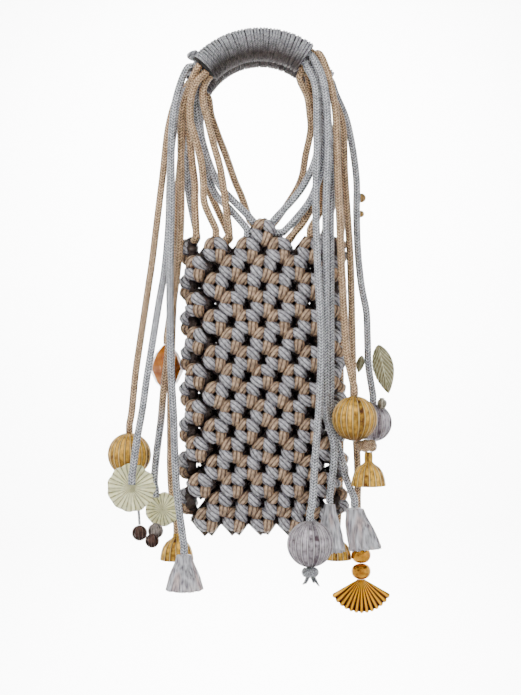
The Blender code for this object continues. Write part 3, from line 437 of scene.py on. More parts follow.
# Name, finish and route, from the bar's end down to the charm
STRANDS = (
    ("strand_left_1", "rose_cord", (
        (-0.0571, 0.0137, -0.0111), (-0.059, 0.0137, -0.0141), (-0.067, 0.01, -0.024),
        (-0.074, 0.004, -0.05), (-0.078, -0.002, -0.088), (-0.082, -0.006, -0.123),
        (-0.086, -0.008, -0.157), (-0.089, -0.009, -0.178), (-0.094, -0.01, -0.212),
        (-0.099, -0.01, -0.246), (-0.102, -0.01, -0.276), (-0.104, -0.01, -0.288),
        (-0.104, -0.01, -0.294))),
    ("strand_left_2", "silver_cord", (
        (-0.0541, 0.0074, -0.0131), (-0.0559, 0.0074, -0.016), (-0.064, 0, -0.028),
        (-0.07, -0.006, -0.061), (-0.072, -0.008, -0.093), (-0.073, -0.009, -0.129),
        (-0.076, -0.012, -0.165), (-0.08, -0.018, -0.191), (-0.085, -0.025, -0.225),
        (-0.089, -0.029, -0.252), (-0.092, -0.032, -0.275), (-0.096, -0.034, -0.298),
        (-0.099, -0.034, -0.32), (-0.1, -0.034, -0.327), (-0.1, -0.034, -0.333))),
    ("strand_left_3", "rose_to_silver_cord", (
        (-0.0475, -0.0199, -0.0042), (-0.0498, -0.0199, -0.0068), (-0.056, -0.015, -0.02),
        (-0.061, -0.013, -0.035), (-0.063, -0.012, -0.054), (-0.063, -0.012, -0.086),
        (-0.063, -0.011, -0.121), (-0.065, -0.01, -0.156), (-0.07, -0.008, -0.197),
        (-0.074, -0.007, -0.236), (-0.077, -0.008, -0.26), (-0.079, -0.009, -0.284),
        (-0.082, -0.012, -0.308), (-0.084, -0.013, -0.331), (-0.083, -0.013, -0.339),
        (-0.083, -0.013, -0.345))),
    ("strand_left_4", "silver_cord", (
        (-0.0501, -0.0137, -0.0018), (-0.0525, -0.0137, -0.0044), (-0.058, -0.015, -0.006),
        (-0.064, -0.018, -0.021), (-0.068, -0.022, -0.04), (-0.07, -0.023, -0.07),
        (-0.07, -0.023, -0.111), (-0.071, -0.023, -0.158), (-0.071, -0.023, -0.205),
        (-0.07, -0.023, -0.246), (-0.068, -0.023, -0.283), (-0.067, -0.023, -0.315),
        (-0.065, -0.023, -0.345), (-0.061, -0.023, -0.374), (-0.06, -0.023, -0.382),
        (-0.06, -0.023, -0.388))),
    ("strand_left_5", "rose_cord", (
        (-0.051, 0.0137, -0.015), (-0.0529, 0.0137, -0.0179), (-0.06, 0.014, -0.034),
        (-0.064, 0.013, -0.067), (-0.067, 0.011, -0.107), (-0.068, 0.007, -0.156),
        (-0.07, 0.002, -0.196), (-0.071, 0, -0.228), (-0.072, 0, -0.268), (-0.072, 0, -0.3),
        (-0.072, 0.001, -0.327), (-0.07, 0.001, -0.353), (-0.067, 0.001, -0.369),
        (-0.067, 0.001, -0.375))),
    ("strand_left_6", "rose_cord", (
        (-0.0541, 0.0199, -0.0131), (-0.0559, 0.0199, -0.016), (-0.061, 0.02, -0.029),
        (-0.064, 0.021, -0.066), (-0.066, 0.021, -0.106), (-0.07, 0.02, -0.155), (-0.072, 0.019, -0.188),
        (-0.076, 0.018, -0.218), (-0.076, 0.018, -0.224))),
    ("strand_right_1", "silver_cord", (
        (0.0334, -0.0199, -0.001), (0.0362, -0.0199, -0.0031), (0.037, -0.02, -0.007),
        (0.042, -0.023, -0.017), (0.044, -0.026, -0.033), (0.044, -0.03, -0.072),
        (0.043, -0.033, -0.112), (0.044, -0.036, -0.152), (0.045, -0.038, -0.179),
        (0.047, -0.039, -0.219), (0.046, -0.04, -0.259), (0.044, -0.042, -0.29), (0.042, -0.045, -0.312),
        (0.04, -0.05, -0.343), (0.038, -0.052, -0.353), (0.038, -0.052, -0.359))),
    ("strand_right_2", "silver_cord", (
        (0.0376, -0.0199, 0.0048), (0.0405, -0.0199, 0.0027), (0.044, -0.025, -0.004),
        (0.049, -0.027, -0.017), (0.052, -0.028, -0.037), (0.053, -0.029, -0.061),
        (0.052, -0.03, -0.092), (0.051, -0.031, -0.122), (0.051, -0.032, -0.151),
        (0.051, -0.031, -0.189), (0.051, -0.031, -0.232), (0.051, -0.031, -0.26),
        (0.052, -0.031, -0.282), (0.057, -0.031, -0.301), (0.057, -0.031, -0.318),
        (0.055, -0.029, -0.335), (0.054, -0.028, -0.342), (0.054, -0.028, -0.348))),
    ("strand_right_3", "rose_cord", (
        (0.0397, -0.0137, 0.0077), (0.0426, -0.0137, 0.0056), (0.047, -0.015, 0.005),
        (0.052, -0.018, -0.007), (0.056, -0.022, -0.024), (0.059, -0.024, -0.043),
        (0.06, -0.025, -0.071), (0.061, -0.025, -0.101), (0.063, -0.025, -0.151),
        (0.065, -0.027, -0.192), (0.067, -0.031, -0.228), (0.071, -0.035, -0.25),
        (0.073, -0.036, -0.258), (0.073, -0.036, -0.264))),
    ("strand_right_4", "rose_cord", (
        (0.0529, 0.0074, -0.0112), (0.0549, 0.0074, -0.0141), (0.058, 0.002, -0.026),
        (0.063, -0.002, -0.039), (0.066, -0.005, -0.055), (0.067, -0.008, -0.089),
        (0.069, -0.009, -0.12), (0.071, -0.009, -0.15), (0.072, -0.008, -0.178), (0.073, -0.006, -0.219),
        (0.074, -0.004, -0.259), (0.075, -0.002, -0.284), (0.077, 0, -0.308), (0.078, 0.003, -0.333),
        (0.078, 0.006, -0.354), (0.08, 0.008, -0.373), (0.081, 0.008, -0.381), (0.081, 0.008, -0.387))),
    ("strand_right_5", "silver_cord", (
        (0.0559, 0.0137, -0.0092), (0.0578, 0.0137, -0.0121), (0.061, 0.012, -0.022),
        (0.069, 0.008, -0.042), (0.074, 0.004, -0.067), (0.077, 0.002, -0.093), (0.077, 0.002, -0.119),
        (0.078, 0.002, -0.149), (0.081, 0.003, -0.177), (0.085, 0.004, -0.198), (0.086, 0.006, -0.219),
        (0.087, 0.009, -0.241), (0.091, 0.012, -0.266), (0.091, 0.012, -0.272))),
    ("strand_right_6", "rose_cord", (
        (0.0529, 0.0199, -0.0112), (0.0549, 0.0199, -0.0141), (0.061, 0.022, -0.026),
        (0.067, 0.024, -0.055), (0.067, 0.021, -0.1), (0.065, 0.019, -0.15), (0.065, 0.019, -0.22),
        (0.065, 0.019, -0.3), (0.064, 0.018, -0.345), (0.062, 0.014, -0.373), (0.062, 0.014, -0.379))),
    ("strand_right_7", "silver_cord", (
        (0.0469, 0.0074, -0.0152), (0.0489, 0.0074, -0.0181), (0.049, 0.005, -0.03), (0.055, 0, -0.051),
        (0.058, -0.008, -0.069), (0.057, -0.017, -0.093), (0.055, -0.024, -0.119),
        (0.055, -0.025, -0.151), (0.055, -0.025, -0.189), (0.055, -0.025, -0.228),
        (0.055, -0.025, -0.256), (0.055, -0.024, -0.279), (0.059, -0.024, -0.299),
        (0.063, -0.023, -0.312), (0.067, -0.022, -0.328), (0.074, -0.018, -0.346),
        (0.074, -0.018, -0.352))),
)

strands = {name: add_cord(name, finish_name, route) for name, finish_name, route in STRANDS}


# Carrying cords. The same braided cord, from the ends of the wound bars to the top knots of the net,
# where each is worked in. They take the bag's weight.

# Name, finish and route, from the bar's end down into the knot
CARRIERS = (
    ("carrier_left_1", "rose_cord", (
        (-0.0421, -0.0199, -0.009), (-0.0445, -0.0199, -0.0116), (-0.051, -0.021, -0.019),
        (-0.055, -0.022, -0.033), (-0.055, -0.022, -0.049), (-0.051, -0.022, -0.063),
        (-0.047, -0.021, -0.079), (-0.045, -0.02, -0.096), (-0.044, -0.019, -0.113),
        (-0.0352, -0.0163, -0.1334), (-0.0352, -0.0163, -0.1394))),
    ("carrier_left_2", "rose_cord", (
        (-0.0475, -0.0074, -0.0042), (-0.0498, -0.0074, -0.0068), (-0.056, -0.006, -0.017),
        (-0.058, -0.006, -0.037), (-0.056, -0.007, -0.061), (-0.054, -0.008, -0.081),
        (-0.052, -0.008, -0.097), (-0.052, -0.01, -0.112), (-0.051, -0.0109, -0.1379),
        (-0.0531, -0.0075, -0.1424))),
    ("carrier_left_3", "rose_cord", (
        (-0.0394, -0.0137, -0.0114), (-0.0418, -0.0137, -0.014), (-0.045, -0.017, -0.022),
        (-0.045, -0.018, -0.033), (-0.042, -0.019, -0.046), (-0.037, -0.02, -0.066),
        (-0.032, -0.021, -0.084), (-0.029, -0.021, -0.101), (-0.027, -0.02, -0.117),
        (-0.0246, -0.0163, -0.1379), (-0.0286, -0.0163, -0.1424))),
    ("carrier_left_4", "silver_cord", (
        (-0.0448, -0.0137, -0.0066), (-0.0471, -0.0137, -0.0092), (-0.05, -0.011, -0.019),
        (-0.051, -0.013, -0.034), (-0.049, -0.013, -0.05), (-0.044, -0.012, -0.07),
        (-0.038, -0.012, -0.087), (-0.031, -0.013, -0.1), (-0.022, -0.015, -0.11),
        (-0.0085, -0.0163, -0.1237), (-0.0046, -0.0163, -0.1282))),
    ("carrier_left_5", "silver_cord", (
        (-0.0421, -0.0074, -0.009), (-0.0445, -0.0074, -0.0116), (-0.047, -0.003, -0.027),
        (-0.048, -0.004, -0.049), (-0.044, -0.004, -0.077), (-0.04, -0.005, -0.095),
        (-0.034, -0.007, -0.107), (-0.024, -0.012, -0.117), (-0.0104, -0.0163, -0.1334),
        (-0.0104, -0.0163, -0.1394))),
    ("carrier_left_6", "rose_cord", (
        (-0.0449, 0.0137, -0.0188), (-0.0468, 0.0137, -0.0217), (-0.042, 0.013, -0.025),
        (-0.04, 0.013, -0.038), (-0.035, 0.013, -0.053), (-0.028, 0.014, -0.071),
        (-0.021, 0.015, -0.091), (-0.015, 0.016, -0.105), (-0.0085, 0.0163, -0.1237),
        (-0.0046, 0.0163, -0.1282))),
    ("carrier_left_7", "silver_cord", (
        (-0.048, 0.0074, -0.0169), (-0.0498, 0.0074, -0.0198), (-0.055, 0.008, -0.039),
        (-0.058, 0.007, -0.067), (-0.058, 0.007, -0.1), (-0.051, 0.0109, -0.1379),
        (-0.0531, 0.0075, -0.1424))),
    ("carrier_left_8", "rose_cord", (
        (-0.048, 0.0199, -0.0169), (-0.0498, 0.0199, -0.0198), (-0.053, 0.024, -0.026),
        (-0.054, 0.027, -0.044), (-0.05, 0.028, -0.069), (-0.042, 0.026, -0.098),
        (-0.0246, 0.0163, -0.1379), (-0.0286, 0.0163, -0.1424))),
    ("carrier_right_1", "silver_cord", (
        (0.0355, -0.0137, 0.0019), (0.0383, -0.0137, -0.0002), (0.043, -0.014, -0.009),
        (0.045, -0.015, -0.027), (0.046, -0.016, -0.051), (0.044, -0.017, -0.075),
        (0.037, -0.018, -0.093), (0.028, -0.018, -0.107), (0.0125, -0.0163, -0.1237),
        (0.0086, -0.0163, -0.1282))),
    ("carrier_right_2", "silver_cord", (
        (0.0376, -0.0074, 0.0048), (0.0405, -0.0074, 0.0027), (0.045, -0.009, -0.009),
        (0.05, -0.008, -0.026), (0.051, -0.008, -0.05), (0.05, -0.009, -0.078), (0.044, -0.013, -0.099),
        (0.036, -0.017, -0.115), (0.0174, -0.0163, -0.1358), (0.0114, -0.0163, -0.1358))),
    ("carrier_right_3", "rose_cord", (
        (0.0334, -0.0074, -0.001), (0.0362, -0.0074, -0.0031), (0.04, -0.003, -0.021),
        (0.045, -0.001, -0.041), (0.047, -0.001, -0.069), (0.045, -0.002, -0.094),
        (0.041, -0.008, -0.113), (0.034, -0.014, -0.127), (0.0249, -0.0163, -0.1379),
        (0.021, -0.0163, -0.1424))),
    ("carrier_right_4", "rose_cord", (
        (0.0313, -0.0137, -0.004), (0.0341, -0.0137, -0.006), (0.031, -0.014, -0.014),
        (0.037, -0.009, -0.027), (0.039, -0.006, -0.039), (0.04, -0.003, -0.053), (0.036, 0.002, -0.073),
        (0.033, 0.007, -0.09), (0.026, 0.013, -0.104), (0.0125, 0.0163, -0.1237),
        (0.0086, 0.0163, -0.1282))),
    ("carrier_right_5", "rose_cord", (
        (0.0439, 0.0137, -0.0172), (0.0459, 0.0137, -0.0201), (0.044, 0.009, -0.037),
        (0.049, 0.007, -0.067), (0.05, 0.005, -0.094), (0.048, -0.004, -0.116),
        (0.0392, -0.0163, -0.1334), (0.0392, -0.0163, -0.1394))),
    ("carrier_right_6", "silver_cord", (
        (0.0499, 0.0137, -0.0132), (0.0519, 0.0137, -0.0161), (0.052, 0.017, -0.03),
        (0.053, 0.02, -0.058), (0.048, 0.022, -0.09), (0.037, 0.02, -0.114), (0.0249, 0.0163, -0.1379),
        (0.021, 0.0163, -0.1424))),
    ("carrier_right_7", "silver_cord", (
        (0.0469, 0.0199, -0.0152), (0.0489, 0.0199, -0.0181), (0.052, 0.025, -0.027),
        (0.058, 0.026, -0.057), (0.06, 0.02, -0.094), (0.057, 0.015, -0.117), (0.05, 0.0147, -0.1379),
        (0.0463, 0.0159, -0.1424))),
)

for name, finish_name, route in CARRIERS:
    add_cord(name, finish_name, route)


# Handle. Two padded bars side by side, each wound all along with fine silver cord, turn by turn, and
# closed at its ends by its own last turns. The working end of the winding is tied off in a knob.

HAND_RADIUS = 0.0465
BAR = 0.027
BAR_GAP = 0.0003
BAR_STEPS = 60
TURN_PITCH = 0.0021
TURN_CORD = 0.0020
TURN_SLANT = 0.0011
TURN_POINTS = 40
TURN_SIDES = 8
CORE_SIDES = 24
# How far a turn may lean and how much it may shrink at random
TURN_LEAN = Vector((0.03, 0.03, 0.6))
TURN_LEAST = (0.985, 0.985, 1.0)
WINDING_COLUMNS = 4
WINDING_PLAITS = 1.5
WINDING_RELIEF = 0.0004
WINDING_SILVER = (0.60, 0.60, 0.63)
# Painted shade in the pits between the winding cord's plaits
WINDING_PIT_SHADE = (0.05, 0.05, 0.055)
# Painted shade: the winding turns dull brown on its underside, along the inside of the arch
UNDERSIDE_SHADE = (0.095, 0.076, 0.072)
UNDERSIDE_PIT_SHADE = (0.012, 0.009, 0.008)
# Painted shade: the padded core, seen only between the turns, is near black
CORE_SHADE = (0.02, 0.017, 0.016)
# How far out from the inside of the arch the painted underside shade reaches, and over what width it fades
UNDERSIDE_SHADE_REACH = 0.0205
UNDERSIDE_SHADE_FADE = 0.015
# How far inside the bar's ends, in degrees, the winding and its core stop
WINDING_INSET = 1.6
CORE_INSET = 0.3
KNOB_INSET = 2
KNOB_PLACE = Vector((-0.0105, -0.002, 0.0085))
KNOB_RADIUS = 0.0025
KNOB_CORD = 0.0022
KNOB_RISE = 0.0003
KNOB_STEPS = 18
# A whole number added to u marks a cord that lies under the rest and is painted all in shade
UNDER_SHADE_TONE = 4
# Bar, side it lies on, its ends in degrees, seed
BARS = (
    ("handle_bar_front", -1, -48, 36, 3),
    ("handle_bar_back", 1, -58, 56, 8),
)


def arch_point(depth, degrees):
    """A point of a bar's middle line."""
    turn = math.radians(degrees)
    radius = HAND_RADIUS + BAR / 2
    return Vector((radius * math.sin(turn), depth, radius * math.cos(turn) - HAND_RADIUS))


def start_tree(name, *inputs):
    """A tree of geometry nodes with named inputs, the last of which is its finish."""
    tree = bpy.data.node_groups.new(name, "GeometryNodeTree")
    tree.is_modifier = True
    inputs = (*inputs, ("Finish", "Material"))
    for label, kind in inputs:
        tree.interface.new_socket(label, in_out="INPUT", socket_type=f"NodeSocket{kind}")
    tree.interface.new_socket("Made", in_out="OUTPUT", socket_type="NodeSocketGeometry")
    given = tree.nodes.new("NodeGroupInput")
    return tree, *[Value(tree, socket) for socket in given.outputs[:len(inputs)]]


def random_vector(tree, least, most, seed):
    """A vector picked anew for each point."""
    return make_node(tree, "FunctionNodeRandomValue", {"data_type": "FLOAT_VECTOR"},
                     {0: least, 1: most, "Seed": seed})


def end_tree(tree, points, pattern, aim, lean, scale, finish):
    """Sets the pattern on each point, leaning a little from its aim, and makes the whole one mesh."""
    pattern = make_node(tree, "GeometryNodeObjectInfo", (), {"Object": pattern}, "Geometry")
    lean = make_node(tree, "FunctionNodeEulerToRotation", (), [lean])
    turned = make_node(tree, "FunctionNodeRotateRotation", {"rotation_space": "LOCAL"}, [aim, lean])
    placed = make_node(tree, "GeometryNodeInstanceOnPoints", (),
                       {"Points": points, "Instance": pattern, "Rotation": turned, "Scale": scale})
    real = make_node(tree, "GeometryNodeRealizeInstances", (), [placed])
    done = make_node(tree, "GeometryNodeSetMaterial", (), {"Geometry": real, "Material": finish})
    tree.links.new(done.socket, tree.nodes.new("NodeGroupOutput").inputs[0])
    return tree


def winding_tree():
    """Geometry nodes that set a turn of cord at each pitch along a line."""
    tree, line, turn, pitch, seed, finish = start_tree(
        "winding", ("Line", "Geometry"), ("Turn", "Object"), ("Pitch", "Float"), ("Seed", "Int"))
    curve = make_node(tree, "GeometryNodeMeshToCurve", (), [line])
    points = make_node(tree, "GeometryNodeCurveToPoints", {"mode": "LENGTH"},
                       {"Curve": curve, "Length": pitch})
    lean = random_vector(tree, -TURN_LEAN, TURN_LEAN, seed)
    scale = random_vector(tree, TURN_LEAST, (1.0, 1.0, 1.0), seed)
    return end_tree(tree, points, turn, points.output("Rotation"), lean, scale, finish)


def run_nodes(name, mesh, tree, inputs, finish):
    """Puts a mesh through a tree of geometry nodes, and returns the plain mesh that comes out."""
    holder = place_object(name, mesh)
    modifier = holder.modifiers.new(name, "NODES")
    modifier.node_group = tree
    sockets = {item.name: item.identifier for item in tree.interface.items_tree if item.in_out == "INPUT"}
    for key, value in {**inputs, "Finish": finish}.items():
        modifier[sockets[key]] = value
    ready = holder.evaluated_get(bpy.context.evaluated_depsgraph_get())
    made = bpy.data.meshes.new_from_object(ready)
    made.name = name
    bpy.data.objects.remove(holder)
    made.shade_smooth()
    return made


def join_meshes(name, *meshes):
    """One mesh from several of the same finish, with their UV maps."""
    shape = Shape()
    for mesh in meshes:
        start = len(shape.points)
        shape.points.extend(vert.co.copy() for vert in mesh.vertices)
        layer = mesh.uv_layers["UVMap"].uv
        for face in mesh.polygons:
            shape.faces.append(tuple(start + i for i in face.vertices))
            shape.places.append(tuple(tuple(layer[i].vector) for i in face.loop_indices))
    return shape.mesh(name, meshes[0].materials[0])


def winding_finish():
    """Fine silver winding cord; painted shade darkens its pits, its underside brown, and its core."""
    material, tree, shader = start_finish("winding", 0.6, 0.0, Specular_IOR_Level=0.2)
    height, tone = braid_pattern(tree, WINDING_COLUMNS, WINDING_PLAITS)
    place = read_place(tree)
    across, level = [make_node(tree, "ShaderNodeSeparateXYZ", (), [place], i) for i in (0, 2)]
    low = level + HAND_RADIUS
    radius = (across * across + low * low) ** 0.5
    # Painted shade, growing towards the inside of the arch
    underside_shade_share = ((HAND_RADIUS + UNDERSIDE_SHADE_REACH - radius) / UNDERSIDE_SHADE_FADE).held()
    light = mix_colour(tree, underside_shade_share, WINDING_SILVER, UNDERSIDE_SHADE)
    dark = mix_colour(tree, underside_shade_share, WINDING_PIT_SHADE, UNDERSIDE_PIT_SHADE)
    # Painted shade: the low places of the cord turn to the pit colour
    cord = mix_colour(tree, (height * (tone * 0.9 + 0.45) - 0.04).held(), dark, light)
    # Painted shade: a cord marked as lying under the rest takes the shade colour
    under = read_uv(tree)[0] > UNDER_SHADE_TONE - 0.5
    set_surface(tree, shader, mix_colour(tree, under, cord, CORE_SHADE), height, WINDING_RELIEF)
    return material


winding = winding_finish()
wind_round = winding_tree()
turn_radius = (BAR - TURN_CORD) / 2
turn_line = []
for i in range(TURN_POINTS + 1):
    turn = i * math.tau / TURN_POINTS
    turn_line.append((turn_radius * math.cos(turn), turn_radius * math.sin(turn),
                      TURN_SLANT * math.cos(turn)))
turn_shape = Shape()
turn_shape.tube(turn_line, TURN_CORD / 2, TURN_SIDES, caps=False)
turn_pattern = place_object("winding_turn", turn_shape.mesh("winding_turn", winding))

for name, face, left, right, seed in BARS:
    depth = face * (BAR + BAR_GAP) / 2
    degrees = [left + WINDING_INSET + (right - left - 2 * WINDING_INSET) * i / BAR_STEPS
               for i in range(BAR_STEPS + 1)]
    arch_mesh = bpy.data.meshes.new(name)
    arch_mesh.from_pydata([arch_point(depth, d) for d in degrees],
                          [(i, i + 1) for i in range(BAR_STEPS)], [])
    turns = run_nodes(name, arch_mesh, wind_round,
                      {"Turn": turn_pattern, "Pitch": TURN_PITCH, "Seed": seed}, winding)
    core = Shape()
    core_degrees = [left + CORE_INSET, *degrees[::4], right - CORE_INSET]
    core.tube([arch_point(depth, d) for d in core_degrees], BAR / 2 - TURN_CORD * 0.6, CORE_SIDES,
              across=UNDER_SHADE_TONE)
    if face < 0:
        knob = arch_point(depth, left + KNOB_INSET) + KNOB_PLACE
        core.tube([knob + Vector((KNOB_RADIUS * math.cos(i / 3), KNOB_RADIUS * math.sin(i / 3),
                                  (i - KNOB_STEPS / 2) * KNOB_RISE))
                   for i in range(KNOB_STEPS + 1)], KNOB_CORD, TURN_SIDES)
    add_piece(name + "_winding", join_meshes(name + "_winding", turns, core.mesh(name + "_core", winding)),
              name)
bpy.data.objects.remove(turn_pattern)


# Pouch. A net of thick cord, tied round and round with no seam. Each knot shows four loops of cord
# that lock like a pinwheel, two rose gold and two silver, and short lengths run slantwise to the next.

POUCH_MIDDLE = 0.002
POUCH_WIDTH = 0.1084
POUCH_DEPTH = 0.030
POUCH_BASE_DEPTH = 0.0008
POUCH_TOP = -0.150
KNOTS_ROUND = 10
KNOT_ROWS = 16
ROW_PITCH = 0.0142
KNOT_LIFT = 0.0048
KNOT_SWAY = 0.1
# Random lean of a pattern, times its sway, and its least and most size
PATTERN_LEAN = (1.0, 1.0, 1.4)
PATTERN_LEAST = (0.98, 0.98, 0.98)
PATTERN_MOST = (1.03, 1.03, 1.03)
# Way down, share of the width, share of the depth
POUCH_SECTIONS = (
    (0.00, 1.00, 0.90),
    (0.35, 0.98, 1.00),
    (0.65, 1.00, 0.92),
    (0.85, 1.03, 0.50),
    (1.00, 1.02, 0.00),
)
SILVER_TONE = 2
# Start and end of a loop on the net (across, up), height of its arch, width, tone
LOOPS = (
    ((-0.0062, 0.0004), (-0.0002, 0.0083), 0.0029, 0.0084, 0),
    ((-0.0006, 0.0077), (0.0078, -0.0008), 0.0037, 0.0088, SILVER_TONE),
    ((0.0042, 0.0023), (0.0012, -0.0092), 0.0031, 0.0088, 0),
    ((-0.0080, 0.0012), (0.0008, -0.0069), 0.0037, 0.0086, SILVER_TONE),
)
LOOP_SWELL = (0.45, 0.80, 1.00, 1.07, 1.07, 1.00, 0.80, 0.45)
LOOP_TUCK = 0.0036
LOOP_BOW = 0.0011
STRANDS_A_LOOP = 8
LOOP_STRAND_DEPTH = 0.12
LINK_SIDES = 8
LINK_SINK = -0.0024
LINK_REACH = Vector((0.0056, 0.0066, -0.0008))
KNOT_RELIEF = 0.0007
KNOT_ROSE = (0.53, 0.37, 0.24)
# Painted shade in the knots' pits, between strands and at the tucked ends of the loops
KNOT_ROSE_PIT_SHADE = (0.060, 0.033, 0.021)
KNOT_SILVER = (0.54, 0.53, 0.56)
KNOT_SILVER_PIT_SHADE = (0.070, 0.064, 0.070)
# Painted shade: the link cords between the knots are near black, as in deep shade
LINK_SHADE = (0.040, 0.027, 0.021)
# Panel, the column of the one knot above its top row, radius of its link cords, seed
PANELS = (
    ("pouch_front", 0, 0.0042, 5),
    ("pouch_back", KNOTS_ROUND, 0.0058, 11),
)


def pouch_place(column, row):
    """A point of the pouch's inner face."""
    down = min(max((row - 1) / (KNOT_ROWS - 1), 0), 1)
    for (low, width_a, depth_a), (high, width_b, depth_b) in zip(POUCH_SECTIONS, POUCH_SECTIONS[1:]):
        if down <= high:
            share = (down - low) / (high - low)
            share = share * share * (3 - 2 * share)
            half_width = POUCH_WIDTH * (width_a + (width_b - width_a) * share) / 2
            depth = depth_a + (depth_b - depth_a) * share
            break
    half_depth = (POUCH_BASE_DEPTH + (POUCH_DEPTH - POUCH_BASE_DEPTH) * depth) / 2
    turn = (column + KNOTS_ROUND) % (2 * KNOTS_ROUND) - KNOTS_ROUND
    behind = abs(turn) > KNOTS_ROUND / 2
    from_middle = KNOTS_ROUND - abs(turn) if behind else abs(turn)
    flat = half_width - half_depth
    along = from_middle / (KNOTS_ROUND / 2) * (flat + math.pi * half_depth / 2)
    if along <= flat:
        across, deep = along, half_depth
    else:
        bend = (along - flat) / half_depth
        across, deep = flat + half_depth * math.sin(bend), half_depth * math.cos(bend)
    return Vector((POUCH_MIDDLE + math.copysign(1, turn) * across, deep if behind else -deep,
                   POUCH_TOP - ROW_PITCH * (row - 1)))


def knotted_finish():
    """Knotted cord, rose gold or silver by the loop, lengthwise strands, painted shade in pits and on links.
    """
    material, tree, shader = start_finish("knotted_cord", 0.46, YARN_METAL, Specular_IOR_Level=YARN_SHINE)
    u, v = read_uv(tree)
    strand = wave(u * STRANDS_A_LOOP)
    weave = shallow(wave(v * 4 + strand * 0.7), 0.45)
    tuck = shallow(wave(v / 1.9) ** 0.6, 0.8)
    height = strand ** 0.8 * weave * tuck
    # Painted shade: the low places of a loop turn to its pit colour
    share = (height * (mottle(tree, 160.0) * 1.7 + 0.25) - 0.10).held()
    silver = u > SILVER_TONE - 0.5
    light = mix_colour(tree, silver, KNOT_ROSE, KNOT_SILVER)
    dark = mix_colour(tree, silver, KNOT_ROSE_PIT_SHADE, KNOT_SILVER_PIT_SHADE)
    tied = mix_colour(tree, share, dark, light)
    # Painted shade: the links, marked by their u, take the link shade colour
    set_surface(tree, shader, mix_colour(tree, u > UNDER_SHADE_TONE - 0.5, tied, LINK_SHADE), height, KNOT_RELIEF)
    return material


def loop_of_cord(shape, start, end, lift, width, tone):
    """One loop of a knot: it rises from the net, bows out over it and tucks under the next."""
    start, end = Vector((*start, 0)), Vector((*end, 0))
    outward = (start + end).normalized()
    line = []
    for i in range(len(LOOP_SWELL)):
        share = i / (len(LOOP_SWELL) - 1)
        arch = math.sin(math.pi * share)
        rise = (lift + LOOP_TUCK) * arch ** 0.65 - LOOP_TUCK
        line.append(start.lerp(end, share) + outward * (LOOP_BOW * arch) + Vector((0, 0, rise)))

    def ripple(u, v, i):
        return LOOP_SWELL[i] * (0.91 + LOOP_STRAND_DEPTH * abs(math.cos(math.pi * STRANDS_A_LOOP * u)))

    shape.tube(line, width / 2, 2 * STRANDS_A_LOOP, across=tone, ripple=ripple)


def knot_pattern(link_radius):
    """A whole knot: its four loops, and the pairs of cords that run to its four neighbours."""
    shape = Shape()
    for loop in LOOPS:
        loop_of_cord(shape, *loop)
    for across in (-1, 1):
        for up in (-1, 1):
            for side in (-1, 1):
                aside = Vector((side * across * 0.75, -side * up * 0.66, 0)) * link_radius
                aside.z = LINK_SINK
                far = aside + Vector((across * LINK_REACH.x, up * LINK_REACH.y, LINK_REACH.z))
                shape.tube([aside, far], link_radius, LINK_SIDES, across=UNDER_SHADE_TONE)
    return place_object("knot", shape.mesh("knot", knotted_cord))


def spread_tree():
    """Geometry nodes that set a pattern on each point, aimed by the point, no two quite alike."""
    tree, points, pattern, sway, seed, finish = start_tree(
        "spread", ("Points", "Geometry"), ("Pattern", "Object"), ("Sway", "Float"), ("Seed", "Int"))
    aims = [make_node(tree, "GeometryNodeInputNamedAttribute", {"data_type": "FLOAT_VECTOR"},
                      {"Name": label}) for label in ("out", "up")]
    aim = make_node(tree, "FunctionNodeAxesToRotation", {"primary_axis": "Z", "secondary_axis": "Y"}, aims)
    lean = random_vector(tree, [-way for way in PATTERN_LEAN], PATTERN_LEAN, seed)
    lean = make_node(tree, "ShaderNodeVectorMath", {"operation": "SCALE"}, {0: lean, "Scale": sway})
    scale = random_vector(tree, PATTERN_LEAST, PATTERN_MOST, seed)
    return end_tree(tree, points, pattern, aim, lean, scale, finish)


def spread_pattern(name, pattern, aims, sway, seed, finish):
    """The pattern set on each point, as (point, way it faces, way up on it); it is then taken away."""
    mesh = bpy.data.meshes.new(name)
    mesh.from_pydata([point for point, _, _ in aims], [], [])
    for key, i in (("out", 1), ("up", 2)):
        layer = mesh.attributes.new(key, "FLOAT_VECTOR", "POINT")
        layer.data.foreach_set("vector", [value for aim in aims for value in aim[i]])
    made = run_nodes(name, mesh, spread, {"Pattern": pattern, "Sway": sway, "Seed": seed}, finish)
    bpy.data.objects.remove(pattern)
    return made


knotted_cord = knotted_finish()
spread = spread_tree()
half_round = KNOTS_ROUND // 2
panel_columns = {
    "pouch_front": range(-half_round, half_round + 1),
    "pouch_back": [*range(half_round + 1, KNOTS_ROUND + 1), *range(1 - KNOTS_ROUND, -half_round)],
}
for name, peak, link_radius, seed in PANELS:
    knots = [(peak, 0)] + [(column, row) for row in range(1, KNOT_ROWS + 1) for column in panel_columns[name]
                           if (column + row) % 2 == 0]
    aims = []
    for column, row in knots:
        across = pouch_place(column + 0.5, row) - pouch_place(column - 0.5, row)
        upwards = pouch_place(column, row - 0.5) - pouch_place(column, row + 0.5)
        out = across.cross(upwards).normalized()
        aims.append((pouch_place(column, row) + out * KNOT_LIFT, out, upwards.normalized()))
    knots_mesh = spread_pattern(name, knot_pattern(link_radius), aims, KNOT_SWAY, seed, knotted_cord)
    add_piece(name + "_knots", knots_mesh, name)


# Thread balls. Beads covered with satin thread, laid from pole to pole over raised ribs. A cord runs
# into the top of each and is stitched down inside.

BALL_RIBS = 22
BALL_RIB_DEPTH = 0.04
GOLD_SEAM = (0.86, 0.64, 0.30)
SILVER_SEAM = (0.74, 0.71, 0.73)
BALL_ROWS = 24
# Points round a turned charm for each of its ribs
POINTS_A_RIB = 6
THREAD_ROUGHNESS = 0.38
THREAD_METAL = 0.5
THREAD_SHINE = 0.12
THREAD_RELIEF = 0.0005
